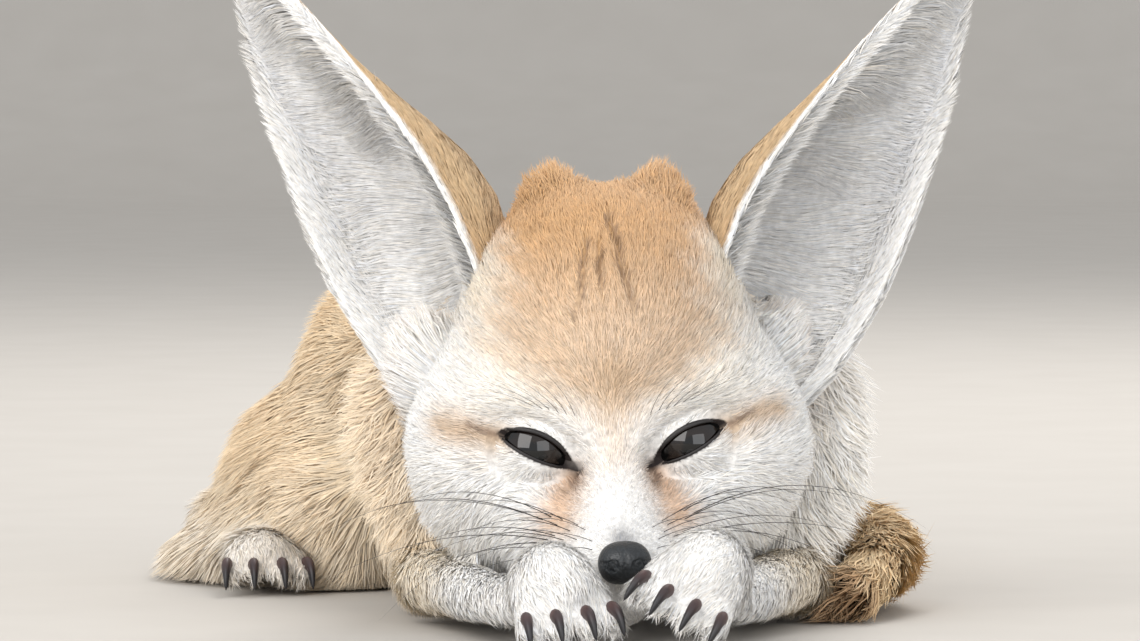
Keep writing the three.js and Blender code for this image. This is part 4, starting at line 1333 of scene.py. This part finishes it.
def wrinkled(name, colour, dark, rough, scale, depth):
    """Bare dark skin with a fine pebbled surface."""
    made = bpy.data.materials.new(name)
    made.use_nodes = True
    nodes, links = made.node_tree.nodes, made.node_tree.links
    surface = nodes["Principled BSDF"]
    where = nodes.new("ShaderNodeTexCoord")
    cells = nodes.new("ShaderNodeTexVoronoi")
    cells.inputs["Scale"].default_value = scale
    links.new(where.outputs["Object"], cells.inputs["Vector"])
    tint = nodes.new("ShaderNodeMix")
    tint.data_type = "RGBA"
    tint.inputs["A"].default_value = (*dark, 1)
    tint.inputs["B"].default_value = (*colour, 1)
    links.new(cells.outputs["Distance"], tint.inputs["Factor"])
    links.new(tint.outputs["Result"], surface.inputs["Base Color"])
    gloss = nodes.new("ShaderNodeMapRange")
    gloss.inputs["To Min"].default_value = rough
    gloss.inputs["To Max"].default_value = rough + 0.2
    links.new(cells.outputs["Distance"], gloss.inputs["Value"])
    links.new(gloss.outputs[0], surface.inputs["Roughness"])
    ridges = nodes.new("ShaderNodeBump")
    ridges.inputs["Strength"].default_value = 0.6
    ridges.inputs["Distance"].default_value = depth
    ridges.invert = True
    links.new(cells.outputs["Distance"], ridges.inputs["Height"])
    links.new(ridges.outputs["Normal"], surface.inputs["Normal"])
    return made


mesh.materials.append(wrinkled("lid_skin", (0.016, 0.012, 0.012), (0.007, 0.006, 0.006), 0.45, 1800, 0.0001))
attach(lid_rims, "root")

# Nose
# The bare nose leather, cast in resin from a mould and painted: two rounded wings with a
# nostril in each, a groove down the middle, and a damp, finely pebbled surface.

NOSE_AT = np.array([0, -25, -21.5])
nose_form = melt(2.5, egg(NOSE_AT, [4.4, 4.4, 4.2]), egg([2.5, -24.7, -21.8], [2.4, 3.6, 3.2]).paired())
nostrils = egg([2.7, -29, -22.0], [1.2, 2.4, 0.95], (0, 25, 12)).paired()
slits = egg([4.2, -27.6, -21.6], [1.4, 1.9, 0.45], (0, -20, 30)).paired()
groove = egg([0, -29.8, -22.6], [0.28, 1.2, 3.0])
nose_whole = hollow(0.6, hollow(0.5, hollow(0.8, nose_form, nostrils), slits), groove)
leather = bmesh.new()
bmesh.ops.create_icosphere(leather, subdivisions=6, radius=5 * MM, matrix=Matrix.Translation(NOSE_AT * MM))
set_points(leather, drawn_onto(nose_whole.field, drawn_onto(nose_form.field, points_of(leather), 5), 6))
bmesh.ops.smooth_vert(leather, verts=leather.verts, factor=0.3, use_axis_x=True, use_axis_y=True, use_axis_z=True)
set_points(leather, FACE + points_of(leather) @ HEAD_TURN.T)
mesh = bpy.data.meshes.new("nose_leather")
leather.to_mesh(mesh)
leather.free()
mesh.polygons.foreach_set("use_smooth", [True] * len(mesh.polygons))
nose = new_object("nose_leather", mesh)
mesh.materials.append(wrinkled("nose_skin", (0.022, 0.026, 0.030), (0.006, 0.007, 0.008), 0.32, 1900, 0.00015))
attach(nose, "root")
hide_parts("nose")

# Whiskers
# Stiff dark hairs drawn from bristle and set one by one in the lips, with finer ones over each
# eye. Each is thickest at its root, bows under its own weight and ends in a point.


def bristles(name, lines, radius):
    """Round tapered hairs along lines of points, each on three sides."""
    hairs = bmesh.new()
    for line, thick in zip(lines, radius):
        steps = len(line)
        ahead = np.gradient(line, axis=0)
        rings = []
        for i, place in enumerate(line[:-1]):
            way = ahead[i] / np.linalg.norm(ahead[i])
            across = np.cross(way, [0.1, 0.2, 1.0])
            across /= np.linalg.norm(across)
            over = np.cross(across, way)
            r = thick * (1 - i / (steps - 1)) ** 0.7
            angles = [0, 2 * math.pi / 3, 4 * math.pi / 3]
            ring = [hairs.verts.new((place + r * (math.cos(a) * across + math.sin(a) * over)) * MM) for a in angles]
            rings.append(ring)
        for here, there in zip(rings, rings[1:]):
            for j in range(3):
                hairs.faces.new((here[j], here[(j + 1) % 3], there[(j + 1) % 3], there[j]))
        tip = hairs.verts.new(line[-1] * MM)
        for j in range(3):
            hairs.faces.new((rings[-1][j], rings[-1][(j + 1) % 3], tip))
        hairs.faces.new(rings[0][::-1])
    bmesh.ops.recalc_face_normals(hairs, faces=hairs.faces)
    mesh = bpy.data.meshes.new(name)
    hairs.to_mesh(mesh)
    hairs.free()
    mesh.polygons.foreach_set("use_smooth", [True] * len(mesh.polygons))
    return new_object(name, mesh)


def on_face(x, z):
    """The skin's place behind a point of the face, from in front, in the head's own frame."""
    p = np.array([[x, -60.0, z]])
    for _ in range(60):
        p[0, 1] += 0.8 * head_skin(p)[0]
    return p[0]


rng = np.random.default_rng(7)
lines = []
thickness = []
for side in SIDES.values():
    for row in range(4):
        for place in range(4 + (row % 2)):
            x = side * (7.0 + 1.9 * place + 0.6 * rng.normal())
            z = -15.5 - 1.9 * row + 0.9 * place + 0.3 * rng.normal()
            root = on_face(x, z)
            reach = (16 + 8.5 * place) * rng.uniform(0.85, 1.15)
            sag = rng.uniform(0.25, 0.5)
            way = np.array([side * 1.0, -0.3 + 0.08 * place + 0.05 * rng.normal(), 0.62 - 0.13 * row])
            way /= np.linalg.norm(way)
            t = np.linspace(0, 1, 14)[:, None]
            line = root + way * (reach * t) + np.array([0, 0.25, -sag * 1.3]) * reach * t**2
            lines.append(FACE + line @ HEAD_TURN.T)
            thickness.append(0.085 + 0.008 * place)
    for hair in range(6):
        x = side * (7.5 + 1.6 * hair)
        root = on_face(x, 6.2 + 0.5 * hair)
        reach = rng.uniform(11, 17)
        t = np.linspace(0, 1, 12)[:, None]
        way = np.array([side * (0.25 + 0.13 * hair), -0.45, 0.9 - 0.06 * hair])
        way /= np.linalg.norm(way)
        line = root + way * (reach * t) + np.array([side * 0.35, 0.3, -0.1]) * reach * t**2
        lines.append(FACE + line @ HEAD_TURN.T)
        thickness.append(0.07)
whiskers = bristles("whiskers", lines, thickness)
horn_dark = wrinkled("whisker_hair", (0.03, 0.026, 0.024), (0.015, 0.012, 0.012), 0.3, 900, 0.00002)
whiskers.data.materials.append(horn_dark)
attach(whiskers, "root")

# Claws
# Real claws are kept on the feet and polished. Each is a curved horn, laterally narrow, with a
# reddish quick showing at its root and a slate tip.

CLAW_RADIUS = 1.8
CLAW_LINE = [[2.5, 6.6], [-1.6, 7.6], [-4.2, 6.0], [-5.6, 2.4]]


def claw_mesh(bm, toe, origin, axes, shift):
    line = np.array([[toe * 1.12 - y * toe * 0.02, toe_reach(toe) + y, z] for y, z in CLAW_LINE]) + shift
    line = spline(line, 14)
    ahead = np.gradient(line, axis=0)
    grid = bmesh.new()
    bmesh.ops.create_grid(grid, x_segments=12, y_segments=13, size=0.5)
    along = grid.verts.layers.float.new("along")
    for v in grid.verts:
        i = int(round((v.co.y + 0.5) * 13))
        v[along] = i / 13
        a = (v.co.x + 0.5) * 2 * math.pi
        t = i / 13
        r = CLAW_RADIUS * math.sqrt(max(1.0 - t, 0.0)) * 0.95 + 0.02
        way = ahead[i] / np.linalg.norm(ahead[i])
        across = np.cross(way, [0, 0, 1.0])
        across /= np.linalg.norm(across)
        over = np.cross(across, way)
        place = line[i] + r * (0.8 * math.cos(a) * across + 1.12 * math.sin(a) * over)
        v.co = Vector((origin + axes @ place) * MM)
    bmesh.ops.remove_doubles(grid, verts=grid.verts, dist=0.00002)
    bmesh.ops.holes_fill(grid, edges=grid.edges, sides=0)
    bmesh.ops.recalc_face_normals(grid, faces=grid.faces)
    part = bpy.data.meshes.new("claw")
    grid.to_mesh(part)
    grid.free()
    bm.from_mesh(part)
    bpy.data.meshes.remove(part)


horn = bpy.data.materials.new("claw_horn")
horn.use_nodes = True
nodes, links = horn.node_tree.nodes, horn.node_tree.links
surface = nodes["Principled BSDF"]
where = nodes.new("ShaderNodeTexCoord")
mottle = nodes.new("ShaderNodeTexNoise")
mottle.inputs["Scale"].default_value = 500
links.new(where.outputs["Object"], mottle.inputs["Vector"])
length_of = nodes.new("ShaderNodeAttribute")
length_of.attribute_name = "along"
quick = nodes.new("ShaderNodeMapRange")
quick.inputs["From Min"].default_value = 0.75
quick.inputs["From Max"].default_value = 0.2
links.new(length_of.outputs["Fac"], quick.inputs["Value"])
uneven = nodes.new("ShaderNodeMath")
uneven.operation = "MULTIPLY"
links.new(quick.outputs[0], uneven.inputs[0])
links.new(mottle.outputs["Fac"], uneven.inputs[1])
tint = nodes.new("ShaderNodeMix")
tint.data_type = "RGBA"
tint.inputs["A"].default_value = (0.014, 0.013, 0.015, 1)
tint.inputs["B"].default_value = (0.12, 0.045, 0.038, 1)
links.new(uneven.outputs[0], tint.inputs["Factor"])
links.new(tint.outputs["Result"], surface.inputs["Base Color"])
surface.inputs["Roughness"].default_value = 0.5
for word in SIDES:
    for foot_kind, (origin, axes), shift in (
        ("fore", PAWS[word], np.zeros(3)),
        ("hind", feet[word], np.array([0, 1.5, -1.2])),
    ):
        claws = bmesh.new()
        for toe in TOES:
            claw_mesh(claws, toe, np.array(origin), axes, shift)
        mesh = bpy.data.meshes.new("claws")
        claws.to_mesh(mesh)
        claws.free()
        mesh.polygons.foreach_set("use_smooth", [True] * len(mesh.polygons))
        mesh.materials.append(horn)
        piece = new_object(f"claws_{foot_kind}_{word}", mesh)
        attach(piece, "root")
        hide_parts(*(f"claw_{foot_kind}_{word}_{i}" for i in range(1, 5)))

# Setting
# A plain pale floor swept up behind, soft lamps as in a studio, and a long lens at the height of
# the fox's face, a pace and a half away.

floor = bmesh.new()
bmesh.ops.create_grid(floor, x_segments=2, y_segments=40, size=1.0)
for v in floor.verts:
    y = v.co.y * 4.5 + 1.0
    rise = max(0.0, y - 3.0)
    v.co = Vector((v.co.x * 6.0, y, -0.0003 + min(rise, 1.5) ** 2 * 1.2))
mesh = bpy.data.meshes.new("floor")
floor.to_mesh(mesh)
floor.free()
mesh.polygons.foreach_set("use_smooth", [True] * len(mesh.polygons))
ground = new_object("floor", mesh)
paper = bpy.data.materials.new("studio_paper")
paper.use_nodes = True
nodes, links = paper.node_tree.nodes, paper.node_tree.links
where = nodes.new("ShaderNodeTexCoord")
grain = nodes.new("ShaderNodeTexNoise")
grain.inputs["Scale"].default_value = 30
links.new(where.outputs["Object"], grain.inputs["Vector"])
tone = nodes.new("ShaderNodeMix")
tone.data_type = "RGBA"
tone.inputs["A"].default_value = (0.46, 0.43, 0.39, 1)
tone.inputs["B"].default_value = (0.50, 0.47, 0.43, 1)
links.new(grain.outputs["Fac"], tone.inputs["Factor"])
links.new(tone.outputs["Result"], nodes["Principled BSDF"].inputs["Base Color"])
nodes["Principled BSDF"].inputs["Roughness"].default_value = 0.9
mesh.materials.append(paper)

world = bpy.data.worlds.new("studio")
bpy.context.scene.world = world
world.use_nodes = True
world.node_tree.nodes["Background"].inputs["Color"].default_value = (0.95, 0.97, 1.0, 1)
world.node_tree.nodes["Background"].inputs["Strength"].default_value = 0.92


def soft_lamp(name, place, power, size, colour):
    lamp = bpy.data.lights.new(name, "AREA")
    lamp.energy = power
    lamp.size = size
    lamp.color = colour
    piece = bpy.data.objects.new(name, lamp)
    piece.location = place
    piece.rotation_euler = (Vector((0.02, -0.1, 0.06)) - Vector(place)).to_track_quat("-Z", "Y").to_euler()
    bpy.context.scene.collection.objects.link(piece)


soft_lamp("key", (-0.75, -1.2, 0.75), 19.0, 1.1, (1.0, 0.985, 0.965))
soft_lamp("fill", (0.8, -1.4, 0.3), 10.0, 1.1, (0.97, 0.985, 1.0))
soft_lamp("rim", (0.3, 0.9, 1.1), 12.0, 0.7, (1.0, 0.98, 0.96))

# The photograph: the long side of the frame takes in 228 mm at the face
CAMERA_DISTANCE = 1.6
CAMERA_ELEVATION = math.radians(2.5)
FRAME_WIDTH = 0.228
aim = Vector((0.0114, -0.120, 0.0632))
back = Vector((0, -math.cos(CAMERA_ELEVATION), math.sin(CAMERA_ELEVATION)))
lens = bpy.data.cameras.new("camera")
lens.sensor_width = 36
lens.lens = 36 * CAMERA_DISTANCE / FRAME_WIDTH
camera = bpy.data.objects.new("camera", lens)
camera.location = aim + back * CAMERA_DISTANCE
camera.rotation_euler = (-back).to_track_quat("-Z", "Y").to_euler()
bpy.context.scene.collection.objects.link(camera)
bpy.context.scene.camera = camera
bpy.context.scene.view_settings.view_transform = "Standard"

bpy.context.view_layer.update()
